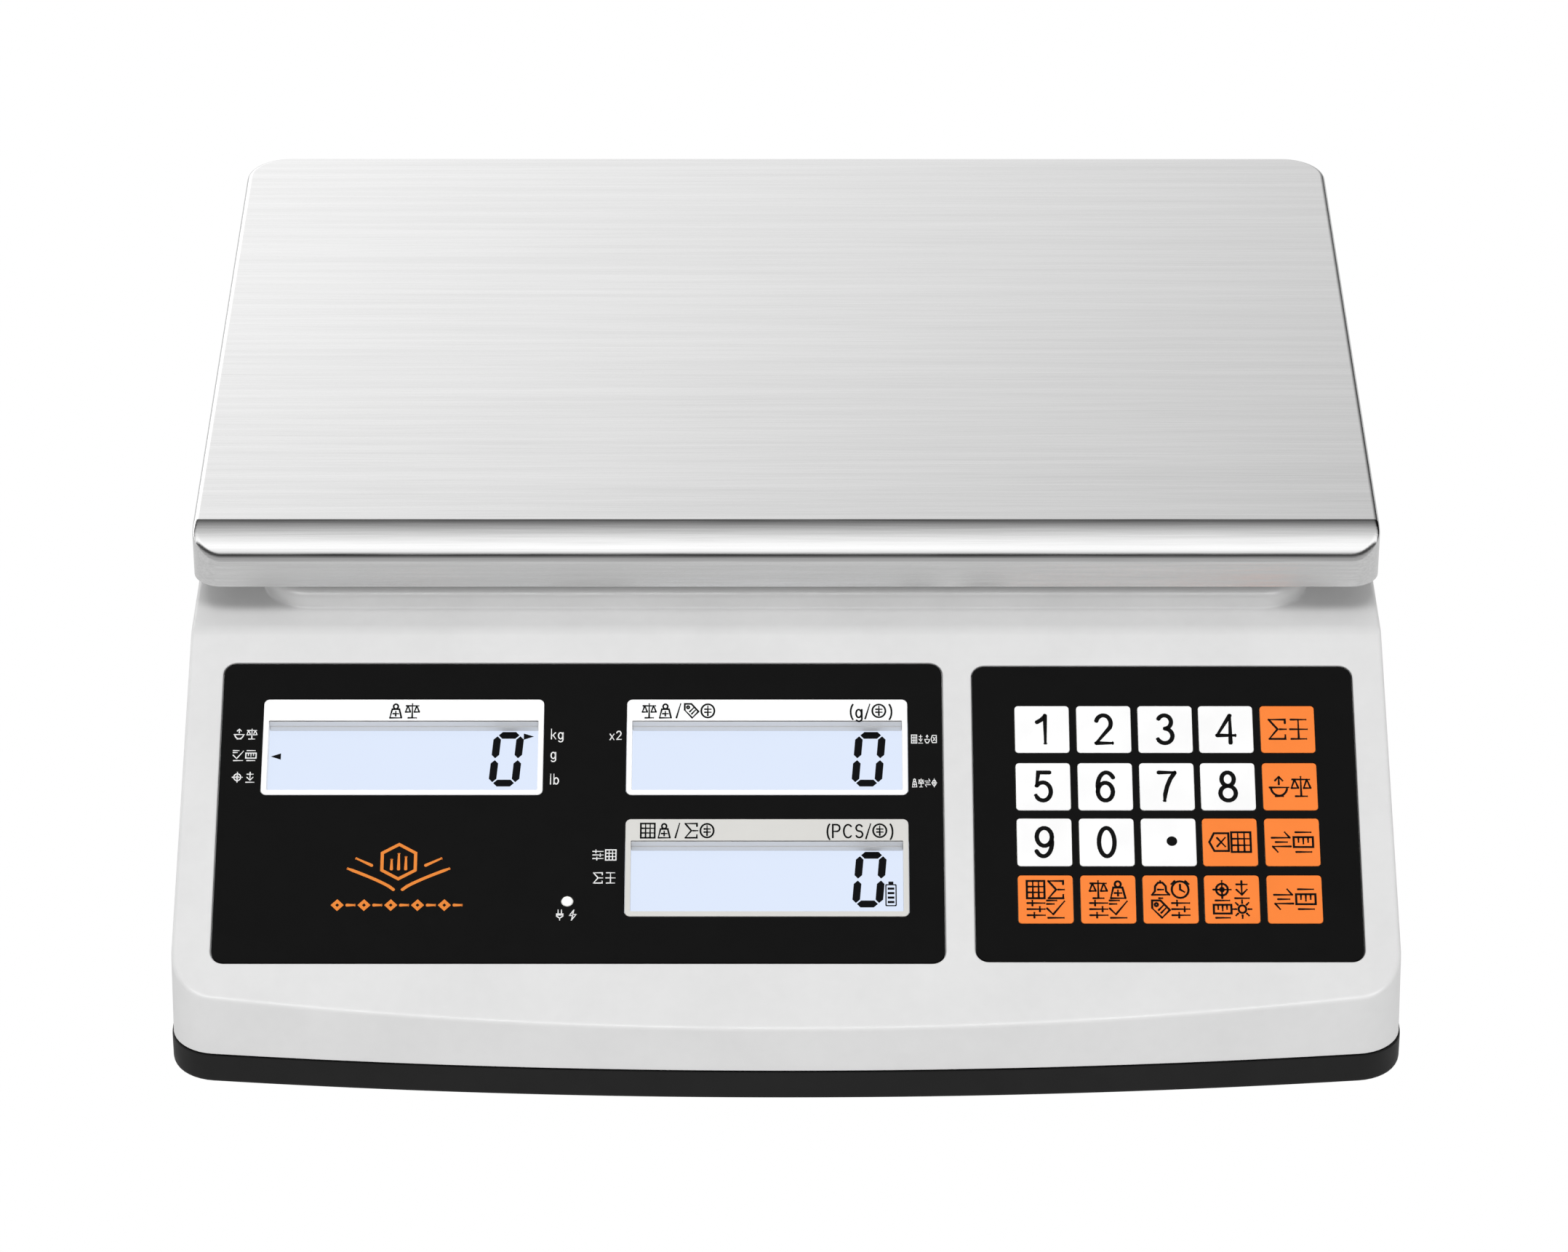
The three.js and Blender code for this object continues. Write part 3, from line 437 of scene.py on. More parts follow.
WHITE_PLASTIC = moulded("white_plastic", srgb(225, 225, 225), 0.38)
FRAME_WHITE = moulded("frame_white", srgb(255, 255, 255), 0.4, height=0.004, mottle=0.01)
FRAME_GREY = moulded("frame_grey", srgb(218, 217, 213), 0.4, height=0.004, mottle=0.01)
# Grey of the strips on the windows' upper walls: painted shade of the recess wall
PAINTED_SHADE_GREY = moulded("painted_shade_grey", srgb(226, 226, 226), 0.5, height=0.004, mottle=0.01)
BLACK_PLASTIC = moulded("black_plastic", srgb(26, 26, 26), 0.5, height=0.015, mottle=0.06, shine=0.2)
SMOOTH_BLACK = moulded("smooth_black", srgb(24, 24, 24), 0.25, height=0.003, mottle=0.05)
OVERLAY_BLACK = printed_film("overlay_black", srgb(17, 17, 17), 0.45)
KEY_WHITE = printed_film("key_white", srgb(255, 255, 255), 0.4)
KEY_ORANGE = printed_film("key_orange", (1.0, 0.255, 0.052, 1), 0.4)
INK_BLACK = printed_film("ink_black", srgb(16, 16, 16), 0.42)
INK_WHITE = printed_film("ink_white", srgb(244, 244, 244), 0.42)
INK_ORANGE = printed_film("ink_orange", srgb(238, 140, 62), 0.42)
STAINLESS = brushed_steel("stainless", (0.74, 0.74, 0.74, 1), 0.15)
LCD_PANE = lit_glass("lcd_pane", srgb(224, 235, 254), 0.96)
LCD_INK = printed_film("lcd_ink", srgb(14, 15, 17), 0.3)
LAMP = gel("lamp", srgb(252, 252, 248), 0.35)
BOARD = circuit_board("board")
MEMBRANE = printed_film("membrane", srgb(205, 214, 190), 0.45)
CAST_ALUMINIUM = worked_metal("cast_aluminium", (0.42, 0.43, 0.45, 1), 0.5, 1.2, 0.04)
MACHINED = brushed_steel("machined_aluminium", (0.6, 0.61, 0.63, 1), 0.33, (25, 1, 1), 0.05)
ZINC = worked_metal("zinc_plate", (0.5, 0.51, 0.52, 1), 0.32, 0.5, 0.006)
CAST_PAINT = worked_metal("cast_paint", (0.09, 0.1, 0.11, 1), 0.55, 0.9, 0.05, metallic=0.0)
LAMINATIONS = brushed_steel("laminations", (0.3, 0.3, 0.31, 1), 0.45, (80, 80, 1), 0.25, 0.05)
BATTERY_CASE = moulded("battery_case", srgb(52, 54, 60), 0.45, mottle=0.05)
RUBBER = moulded_rubber("rubber", srgb(28, 28, 28))
SHEATH = moulded_rubber("cable_sheath", srgb(34, 34, 36))
RIBBON = printed_film("ribbon_film", srgb(220, 220, 214), 0.4)
NICKEL = worked_metal("nickel_pin", (0.72, 0.7, 0.66, 1), 0.2, 0.4, 0.002)
VIAL = gel("vial_liquid", srgb(190, 226, 90))


# ---------------------------------------------------------------- shapes, in millimetres
def arc(cx, cy, r, start, end, steps):
    """Points on an arc, both ends included; angles in degrees."""
    turns = [math.radians(start + (end - start) * i / steps) for i in range(steps + 1)]
    return [(cx + r * math.cos(a), cy + r * math.sin(a)) for a in turns]


def rounded(x0, x1, y0, y1, corners, steps=8):
    """A rectangle with round corners, anticlockwise from the front left."""
    a, b, c, d = corners if isinstance(corners, tuple) else (corners,) * 4
    return (arc(x0 + a, y0 + a, a, 180, 270, steps) + arc(x1 - b, y0 + b, b, 270, 360, steps)
            + arc(x1 - c, y1 - c, c, 0, 90, steps) + arc(x0 + d, y1 - d, d, 90, 180, steps))


def tile(x, y, half_x, half_y, corner, steps=8):
    """A round-cornered rectangle about a middle."""
    return rounded(x - half_x, x + half_x, y - half_y, y + half_y, corner, steps)


def oval(x, y, rx, ry, start=0, end=360, steps=18):
    return [(x + rx * px, y + ry * py) for px, py in arc(0, 0, 1, start, end, steps)]


def circle(cx, cy, r, steps=32):
    return arc(cx, cy, r, 0, 360 - 360 / steps, steps - 1)


def body_outline(inset, z=PARTING):
    """The body's plan at height z, drawn in by inset: a bowed front, straight sides and back."""
    k = 1 - LEAN * (z - PARTING) / BODY_HALF
    half, back = BODY_HALF - inset, BODY_BACK - inset
    front, rear = FRONT_CORNER - inset, BACK_CORNER - inset
    radius = FRONT_RADIUS - inset
    centre = BODY_FRONT + FRONT_RADIUS
    x = half - front
    y = centre - math.sqrt((radius - front) ** 2 - x ** 2)
    bow = math.degrees(math.atan2(x, centre - y))
    points = (arc(0, centre, radius, 270 - bow, 270 + bow, 40) + arc(x, y, front, 270 + bow, 360, 10)[1:]
              + arc(half - rear, back - rear, rear, 0, 90, 12)
              + arc(rear - half, back - rear, rear, 90, 180, 12)
              + arc(-x, y, front, 180, 270 - bow, 10)[:-1])
    return [(px * k, py * k) for px, py in points]


def level(outline, z):
    return [(x, y, z) for x, y in outline]


def object_from(bm, name):
    bmesh.ops.recalc_face_normals(bm, faces=bm.faces)
    mesh = bpy.data.meshes.new(name)
    bm.to_mesh(mesh)
    bm.free()
    made = bpy.data.objects.new(name, mesh)
    bpy.context.scene.collection.objects.link(made)
    return made


def bridge(bm, rows):
    """Faces between neighbouring rings of equal length."""
    n = len(rows[0])
    for low, high in zip(rows, rows[1:]):
        for i in range(n):
            bm.faces.new((low[i], low[(i + 1) % n], high[(i + 1) % n], high[i]))


def solid_through(rings):
    """A closed solid through rings of equal length, with flat ends."""
    bm = bmesh.new()
    rows = [[bm.verts.new(p) for p in ring] for ring in rings]
    bridge(bm, rows)
    bm.faces.new(rows[0])
    bm.faces.new(rows[-1])
    return bm


def skin(name, rings, place=None):
    bm = solid_through(rings)
    if place is not None:
        bm.transform(place)
    return object_from(bm, name)


def prism(name, outline, z0, z1, place=None):
    return skin(name, [level(outline, z0), level(outline, z1)], place)


def quarter(steps):
    """A quarter turn as pairs of (1 - cosine, 1 - sine)."""
    turns = [math.radians(90 * i / steps) for i in range(steps + 1)]
    return [(1 - math.cos(a), 1 - math.sin(a)) for a in turns]


def eased(outline_at, z0, z1, r0, r1, steps=3):
    """Rings of a prism whose bottom and top edges are rounded by r0 and r1."""
    return ([level(outline_at(r0 * s), z0 + r0 * c) for c, s in quarter(steps)]
            + [level(outline_at(r1 * c), z1 - r1 * s) for c, s in quarter(steps)])


def turned(name, profile, x=0.0, y=0.0, steps=48):
    """A solid of revolution on an upright axis, from (radius, height) points."""
    bm = bmesh.new()
    rows = []
    for r, z in profile:
        if r < 1e-6:
            rows.append([bm.verts.new((x, y, z))])
        else:
            rows.append([bm.verts.new((x + px, y + py, z)) for px, py in circle(0, 0, r, steps)])
    for low, high in zip(rows, rows[1:]):
        for i in range(steps):
            j = (i + 1) % steps
            corners = [low[i % len(low)], low[j % len(low)], high[j % len(high)], high[i % len(high)]]
            unique = list(dict.fromkeys(corners))
            if len(unique) > 2:
                bm.faces.new(unique)
    return object_from(bm, name)


def apply_modifiers(piece):
    graph = bpy.context.evaluated_depsgraph_get()
    mesh = bpy.data.meshes.new_from_object(piece.evaluated_get(graph))
    piece.modifiers.clear()
    old, piece.data = piece.data, mesh
    bpy.data.meshes.remove(old)
    return piece


def discard(piece):
    data = piece.data
    bpy.data.objects.remove(piece)
    if isinstance(data, bpy.types.Mesh):
        bpy.data.meshes.remove(data)


def combine(target, operation, *others):
    """Joins the others to target, or cuts them from it, and removes them."""
    for other in others:
        modifier = target.modifiers.new("boolean", "BOOLEAN")
        modifier.operation = operation
        modifier.solver = "EXACT"
        modifier.object = other
        apply_modifiers(target)
        discard(other)
    return target


def cut(target, *others):
    return combine(target, "DIFFERENCE", *others)


def join(target, *others):
    return combine(target, "UNION", *others)


def merge(name, parts):
    """Several closed meshes as one object, as they lie."""
    bm = bmesh.new()
    for part in parts:
        bm.from_mesh(part.data)
        discard(part)
    return object_from(bm, name)


def bevel(piece, width, **settings):
    modifier = piece.modifiers.new("bevel", "BEVEL")
    modifier.width = width
    for name, value in settings.items():
        setattr(modifier, name, value)


def soften(piece, width, angle=40):
    """Rounds every edge sharper than angle."""
    bevel(piece, width, segments=2, limit_method="ANGLE", angle_limit=math.radians(angle))
    return apply_modifiers(piece)


def smooth(piece, angle=32):
    """Shades round surfaces smoothly, keeps sharp edges and flat faces."""
    piece.data.shade_smooth()
    piece.data.set_sharp_from_angle(angle=math.radians(angle))
    weighted = piece.modifiers.new("weighted_normals", "WEIGHTED_NORMAL")
    weighted.keep_sharp = True
    return piece


def settle(piece, body, slot, finish, *nodes, angle=32):
    """Turns a piece into metres and gives it its body, finish and the CAD nodes that it replaces. The slot is
    not used.
    """
    piece.data.transform(Matrix.Scale(MM, 4))
    piece.data.materials.clear()
    piece.data.materials.append(finish)
    smooth(piece, angle)
    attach(piece, body)
    if nodes:
        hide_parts(*nodes)
    return piece


def dress(node, finish, rounding):
    """Gives a CAD node its finish, and rounds its edges by so many millimetres."""
    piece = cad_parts[node]
    piece.data.materials.clear()
    piece.data.materials.append(finish)
    if rounding:
        bevel(piece, rounding * MM, segments=2, limit_method="ANGLE", angle_limit=math.radians(50))
    smooth(piece)


# ---------------------------------------------------------------- upper housing
def slope_outline(x0, x1, s0, s1, corner, steps=8):
    """An outline on the slope as a function of how far it is drawn in."""
    return lambda inset: rounded(x0 + inset, x1 - inset, -s1 + inset, -s0 - inset,
                                 max(corner - inset, 0.2), steps)


def slope_tile(x, s, half_x, half_s, corner, steps=8):
    """A slope_outline about a middle."""
    return slope_outline(x - half_x, x + half_x, s - half_s, s + half_s, corner, steps)


def recess(outline_at, bottom, rim, place):
    """A cutter for a pocket bottom millimetres deep whose mouth is rounded by rim."""
    rings = [level(outline_at(0), -bottom)]
    rings += [level(outline_at(-rim * c), -rim * s) for c, s in quarter(4)]
    rings.append(level(outline_at(-rim), 5))
    return skin("cutter", rings, place)


def sloped_block(inset, depth, top, ease):
    """The body's solid from the parting to top, cut along the slope, its upper edges rounded by ease."""
    foot, edge, crown = body_outline(inset + 0.3), body_outline(inset), body_outline(inset, top)
    bm = solid_through([level(foot, PARTING), level(edge, PARTING + 0.3), level(crown, top)])
    bmesh.ops.recalc_face_normals(bm, faces=bm.faces)
    normal = (SLOPE.to_3x3() @ Vector((0, 0, 1))).normalized()
    co = Vector((0, CREASE_Y, DECK)) - normal * depth
    bmesh.ops.bisect_plane(bm, geom=bm.verts[:] + bm.edges[:] + bm.faces[:], plane_co=co, plane_no=normal,
                           clear_outer=True)
    bmesh.ops.holes_fill(bm, edges=[e for e in bm.edges if e.is_boundary], sides=0)
    bmesh.ops.recalc_face_normals(bm, faces=bm.faces)
    if not ease:
        return object_from(bm, "housing_core")
    weight = bm.edges.layers.float.new("bevel_weight_edge")
    for e in bm.edges:
        if e.calc_face_angle(0) > math.radians(15) and min(v.co.z for v in e.verts) > PARTING + 2:
            on_crease = all(abs(v.co.y - CREASE_Y) < 0.01 for v in e.verts)
            e[weight] = 1 if on_crease else RIM_EASE / ease
    shell = object_from(bm, "housing_shell")
    bevel(shell, ease, limit_method="WEIGHT", segments=6, use_clamp_overlap=False)
    return apply_modifiers(shell)


def platform_solid():
    """The raised platform under the pan, with a tight foot fillet and a soft top edge."""
    foot, crown = 0.6, 2.8
    x0, x1, y0, y1 = PLATFORM

    def outline_at(inset):
        return rounded(x0 + inset, x1 - inset, y0 + inset, y1 - inset, PLATFORM_CORNER - inset, 12)

    rings = [level(outline_at(-foot), DECK - 1)]
    rings += [level(outline_at(-foot * s), DECK + 0.02 + foot * c) for c, s in quarter(4)]
    rings += [level(outline_at(crown * c), PLATFORM_TOP - crown * s) for c, s in quarter(6)]
    return skin("platform", rings)


def upright(name, x, y, r, z0, z1, steps=48, ease=0.0):
    def outline_at(inset):
        return circle(x, y, r - inset, steps)

    if not ease:
        return prism(name, outline_at(0), z0, z1)
    return skin(name, eased(outline_at, z0, z1, ease, ease))


# A frame on the right wall: x runs to the back, y up and z out of the wall
SIDE = Matrix(((0, 0, 1, 0), (1, 0, 0, 0), (0, 1, 0, 0), (0, 0, 0, 1)))


def housing():
    shell = sloped_block(HOUSING_STEP, 0, DECK, CREASE_EASE)
    join(shell, platform_solid())
    inner = sloped_block(HOUSING_STEP + WALL, WALL, DECK - WALL, 0)
    inner.data.transform(Matrix.Translation((0, 0, -0.5)))
    x0, x1, y0, y1 = PLATFORM
    under = prism("cutter", rounded(x0 + WALL, x1 - WALL, y0 + WALL, y1 - WALL, PLATFORM_CORNER - WALL),
                  DECK - 10, PLATFORM_TOP - WALL)
    cut(shell, inner, under)

    # Hatch with its collar, and the spirit level's seat
    collar = (HATCH_RADIUS + WALL, PLATFORM_TOP - WALL, PLATFORM_TOP + 1)
    join(shell, upright("collar", 0, CENTRE_Y, *collar, 72, 0.4),
         upright("seat", *LEVEL, 11, PLATFORM_TOP - 7.5, PLATFORM_TOP - 1))
    cut(shell, upright("cutter", 0, CENTRE_Y, HATCH_RADIUS, DECK - 10, PLATFORM_TOP + 5, 72),
        upright("cutter", *LEVEL, 9, PLATFORM_TOP - 5.5, PLATFORM_TOP + 1))

    # Keypad backing, the two pockets and the windows through the display's
    join(shell, prism("backing", slope_outline(*BACKING, 2)(0), -4, -1, SLOPE))
    cut(shell, recess(slope_outline(*KEYPAD, PANEL_CORNER), KEYPAD_POCKET, POCKET_RIM, SLOPE),
        recess(slope_outline(*DISPLAY, PANEL_CORNER), DISPLAY_POCKET, POCKET_RIM, SLOPE))
    for x, s in WINDOWS.values():
        outline = slope_tile(x, s, FRAME_SIZE[0] / 2 + 0.1, FRAME_SIZE[1] / 2 + 0.1, 1.6)(0)
        cut(shell, prism("cutter", outline, *THROUGH_SLOPE, SLOPE))
    cut(shell, prism("cutter", circle(LED[0], -LED[1], 1.95), *THROUGH_SLOPE, SLOPE))

    # Well of the inlet and the switch
    wy0, wy1, wz0, wz1 = WELL
    rim = 2.4
    join(shell, prism("well", rounded(wy0 - rim, wy1 + rim, wz0 - rim, wz1 + rim, 3), WELL_FLOOR - rim,
                      BODY_HALF - 2.2, SIDE))
    mouth = BODY_HALF - 0.8
    wide, tall = (wy1 - wy0) / 2, (wz1 - wz0) / 2
    cut(shell, recess_side((wy0 + wy1) / 2, wide, tall, 2.5, mouth - WELL_FLOOR, 0.7, mouth))
    cut(shell, prism("cutter", tile(INLET_Y, WELL_Z, 12.4, 7.4, 1), *THROUGH_SIDE, SIDE),
        prism("cutter", tile(SWITCH_Y, WELL_Z, 10, 6.9, 1), *THROUGH_SIDE, SIDE))
    return settle(shell, "body", "white_plastic", WHITE_PLASTIC, "top_housing", angle=40)


# ---------------------------------------------------------------- tray, door and feet
def ring_wall(inset, thick, z0, z1):
    """A wall that follows the body's outline."""
    wall = prism("wall", body_outline(inset), z0, z1)
    return cut(wall, prism("cutter", body_outline(inset + thick), z0 - 1, z1 + 1))


def along_x(outline, x0, x1):
    """A prism along X from (y, z) points."""
    return skin("bar", [[(x0, y, z) for y, z in outline], [(x1, y, z) for y, z in outline]])


def dovetail(slack, bottom):
    _, _, y0, y1 = DOOR
    top, taper, lip = 9, 1.5, BASE_BOTTOM + 0.4
    return [(y0 + taper - slack, bottom), (y1 - taper + slack, bottom), (y1 - taper + slack, lip),
            (y1 + slack, top + slack), (y0 - slack, top + slack), (y0 + taper - slack, lip)]


def tray():
    edge = ((BASE_BOTTOM, 0.9), (7.08, 0.5), (7.3, 0.22), (7.7, 0.05), (8.2, 0), (15.5, 0), (15.7, 0.2))
    shell = skin("tray", [level(body_outline(inset), z) for z, inset in edge])
    cut(shell, prism("cutter", body_outline(WALL), FLOOR_TOP, 30))
    x0, x1, y0, y1 = DOOR
    rim = prism("rim", rounded(x0 - 3, x1 + DOOR_TRAVEL + 3, y0 - 3, y1 + 3, 2), 8.8, 11.8)
    join(shell, ring_wall(1.8, 3.5, 8.8, 14), ring_wall(3.5, 1.8, 8.8, 19), rim)
    for x, y in FOOT_PLACES.values():
        join(shell, upright("boss", x, y, 11, BASE_BOTTOM, 22, 40, 0.5))
        cut(shell, upright("cutter", x, y, 4.35, 0, 30, 32))
    groove = along_x(dovetail(0.3, 5), x0 - 0.3, x1 + DOOR_TRAVEL + 0.3)
    opening = prism("cutter", rounded(*BATTERY, 1.5), 5, 20)
    cut(shell, groove, opening)
    for x, y in POSTS:
        cut(shell, upright("cutter", x, y, 4.6, 5, 8.6, 32))
    width, y0, y1 = VENT
    slots = [prism("slot", rounded(x, x + width, y0, y1, 1.45), 5, 14) for x in VENTS]
    cut(shell, merge("slots", slots))
    settle(shell, "body", "black_plastic", BLACK_PLASTIC, "base_tray", angle=40)


def case_screws():
    """Cross-head screws at the tray's six posts, their heads sunk in the tray's floor."""
    profile = [(0, 7.35), (2.2, 7.45), (3.5, 8), (3.7, 8.3), (3.7, 8.6), (0, 8.6)]
    screws = []
    for x, y in POSTS:
        head = turned("screw", profile, x, y, 28)
        cross = [prism("cutter", tile(x, y, *half, 0.2, 2), 7, 8.1) for half in ((1.9, 0.35), (0.35, 1.9))]
        screws.append(cut(head, *cross))
    settle(merge("case_screws", screws), "body", "zinc_steel", ZINC)


def battery_door():
    x0, x1, y0, y1 = DOOR
    door = along_x(dovetail(0, BASE_BOTTOM), x0, x1)
    soften(door, 0.3)
    middle = (y0 + y1) / 2
    grooves = [prism("groove", tile(x1 - 9 - 2.6 * i, middle, 0.65, 14, 0.6, 4), 6, 7.6) for i in range(7)]
    cut(door, merge("grooves", grooves))
    arrow = [(x1 - 36, middle - 5), (x1 - 30, middle), (x1 - 36, middle + 5)]
    cut(door, prism("cutter", arrow, 6, 7.4))
    settle(door, "battery_door", "black_plastic", BLACK_PLASTIC, "battery_door")


def threaded(name, x, y, z0, z1, minor, major, pitch):
    """A stud with a real helical thread and a chamfered top end."""
    sides, steps = 28, 8
    rows = []
    count = int((z1 - z0) / pitch * steps)
    for row in range(count + 1):
        z = z0 + (z1 - z0) * row / count
        ring = []
        for i in range(sides):
            phase = (z / pitch - i / sides) % 1
            crest = min(1, max(0, 1.25 - abs(phase - 0.5) * 3.2))
            r = min(minor + (major - minor) * crest, minor + (z1 - z) * 0.8)
            a = 2 * math.pi * i / sides
            ring.append((x + r * math.cos(a), y + r * math.sin(a), z))
        rows.append(ring)
    return skin(name, rows)


def knurled(x, y, r, notch, count):
    """A disc's outline with round finger notches."""
    def outline_at(inset):
        points = []
        for i in range(count * 8):
            a = 2 * math.pi * i / (count * 8)
            wave = max(0, math.cos(a * count)) ** 2
            radius = r - inset - notch * wave
            points.append((x + radius * math.cos(a), y + radius * math.sin(a)))
        return points
    return outline_at


def feet():
    pad_profile = [(0, 0.5), (4.6, 0.5), (5, 0), (8.4, 0), (8.8, 0.6), (10.6, 0.6), (11, 0), (13.6, 0),
                   (14.5, 0.3), (15, 1), (15, 2.1), (14.7, 2.7), (14, 3), (0, 3)]
    for place, (x, y) in FOOT_PLACES.items():
        pad = turned("rubber_pad_" + place, pad_profile, x, y)
        settle(pad, "foot_" + place, "foot_rubber", RUBBER, "foot_pad_" + place, angle=25)
        disc = skin("disc", eased(knurled(x, y, *FOOT_DISC), 3.3, 6.4, 0.5, 0.7))
        neck = turned("neck", [(0, 6), (6.2, 6), (6.2, 6.3), (5.4, 6.8), (0, 6.8)], x, y, 32)
        stud = threaded("stud", x, y, 6.2, 24, *FOOT_THREAD)
        screw = join(disc, neck, stud)
        screw.name = "levelling_screw_" + place
        settle(screw, "foot_screw_" + place, "foot_plastic", SMOOTH_BLACK, "foot_screw_" + place, angle=38)


# ---------------------------------------------------------------- inlet, switch and level
def side_outline(y, half_y, half_z, corner, steps):
    """An outline on the side wall, centred at y on the well's middle height, by how far it is drawn in."""
    return lambda inset: rounded(y - half_y + inset, y + half_y - inset, WELL_Z - half_z + inset,
                                 WELL_Z + half_z - inset, max(corner - inset, 0.2), steps)


def side_slab(name, y, half_y, half_z, x0, x1, corner, ease):
    """A slab on the side wall between two depths in x."""
    return skin(name, eased(side_outline(y, half_y, half_z, corner, 6), x0, x1, 0.15, ease), SIDE)


def recess_side(y, half_y, half_z, corner, depth, rim, face):
    """A cutter into the side wall from the plane x = face."""
    place = Matrix.Translation((face, 0, 0)) @ SIDE
    return recess(side_outline(y, half_y, half_z, corner, 8), depth, rim, place)


def turned_side(name, profile, y, z, steps=24):
    """A solid of revolution whose axis runs along X."""
    piece = turned(name, profile, 0, 0, steps)
    piece.data.transform(Matrix.Translation((0, y, z)) @ SIDE)
    return piece


def power_inlet():
    face = SIDE_FACE
    body = side_slab("inlet", INLET_Y, 15.5, 9, WELL_FLOOR + 0.3, face, 2.5, 0.5)
    join(body, side_slab("back", INLET_Y, 12, 7, 148, WELL_FLOOR + 1, 1, 0.1))
    cut(body, recess_side(INLET_Y, 8.2, 4.4, 4.3, face - 157, 0.5, face))
    settle(body, "body", "black_plastic", SMOOTH_BLACK, "power_inlet")
    pins = []
    for y in (-4.3, 4.3):
        profile = [(0, 150), (1.2, 150), (1.2, face - 1.9), (0.9, face - 1.2), (0.45, face - 1),
                   (0, face - 1)]
        pins.append(turned_side("pin", profile, INLET_Y + y, WELL_Z))
    settle(merge("inlet_pins", pins), "body", "zinc_steel", NICKEL)
    screws = []
    for y in (-13.7, 13.7):
        profile = [(0, face - 0.5), (1.35, face - 0.5), (1.35, face + 0.15), (0.9, face + 0.5),
                   (0, face + 0.6)]
        head = turned_side("screw", profile, INLET_Y + y, WELL_Z)
        slot = prism("cutter", tile(INLET_Y + y, WELL_Z, 1.2, 0.18, 0.1, 2), face + 0.2, face + 2, SIDE)
        screws.append(cut(head, slot))
    settle(merge("inlet_screws", screws), "body", "zinc_steel", ZINC)


def power_switch():
    face = SIDE_FACE
    body = side_slab("switch", SWITCH_Y, 10.5, 7.5, WELL_FLOOR + 0.3, face, 1.2, 0.6)
    join(body, side_slab("back", SWITCH_Y, 9.6, 6.5, 149, WELL_FLOOR + 1, 0.8, 0.1))
    cut(body, recess_side(SWITCH_Y, 8.6, 5.2, 0.9, face - 160.5, 0.25, face))
    settle(body, "body", "black_plastic", SMOOTH_BLACK, "switch_housing")

    pivot = (Matrix.Translation((WELL_FLOOR + 0.3, SWITCH_Y, WELL_Z))
             @ Matrix.Rotation(math.radians(PADDLE_TURN), 4, "Z"))
    long, wide = PADDLE_HALF
    face_line = [(1.4 + 1.1 * (y / long) ** 2, y) for y in [long * (1 - i / 10) for i in range(21)]]
    paddle = prism("rocker_paddle", [(-3, -long), (-3, long)] + face_line, -wide, wide)
    soften(paddle, 0.35, 50)
    paddle.data.transform(pivot)
    settle(paddle, "rocker", "switch_paddle", SMOOTH_BLACK, "rocker")

    ring = turned("mark", [(1.1, 0), (1.55, 0), (1.55, 0.12), (1.1, 0.12), (1.1, 0)], 0, 0, 32)
    lay = Matrix.Translation((1.72, 4.6, 0)) @ Matrix.Rotation(math.radians(80.5), 4, "Y")
    ring.data.transform(lay)
    bar = prism("mark", rounded(-0.22, 0.22, -1.6, 1.6, 0.1, 2), 0, 0.12)
    bar.data.transform(Matrix.Translation((1.72, -4.6, 0)) @ Matrix.Rotation(math.radians(90), 4, "Y")
                       @ Matrix.Rotation(math.radians(90), 4, "Z"))
    marks = merge("rocker_marks", [ring, bar])
    marks.data.transform(pivot)
    settle(marks, "rocker", "key_white", INK_WHITE)


def spirit_level():
    x, y = LEVEL
    top = PLATFORM_TOP - 0.2
    cup = [(0, -4.9), (8.4, -4.9), (8.7, -4.6), (8.7, -0.4), (8.4, 0), (7.3, 0), (7.1, -0.3), (7.1, -1),
           (0, -1)]
    cup = turned("level_cup", [(r, top + z) for r, z in cup], x, y)
    settle(cup, "body", "vial", SMOOTH_BLACK, "spirit_level")
    dome = [(0, top - 1), (6.9, top - 1), (6.9, top - 0.7)] + oval(0, top - 0.7, 6.9, 0.6, 10, 80, 7)
    settle(turned("level_vial", dome + [(0, top - 0.1)], x, y), "body", "vial", VIAL)
    ring = [(2.9, -0.3), (3.2, -0.3), (3.2, -0.02), (2.9, -0.02), (2.9, -0.3)]
    settle(turned("level_ring", [(r, top + z) for r, z in ring], x, y), "body", "panel_film", INK_BLACK)


# ---------------------------------------------------------------- pan and its support
def pan_height(y, sheet):
    """Height of the pan's face at y, or of a surface that far under it: flat, then curling down the band."""
    first, last = [math.radians(tilt) for tilt in BAND_TILT]
    rate = (last - first) / BAND_RUN
    t = min(max(BAND_Y - y, 0), BAND_RUN + 0.4)
    tilt = first + rate * t if t > 0 else 0
    drop = (math.log(math.cos(first)) - math.log(math.cos(first + rate * t))) / rate if t > 0 else 0
    return PAN_TOP - drop - sheet / math.cos(tilt)


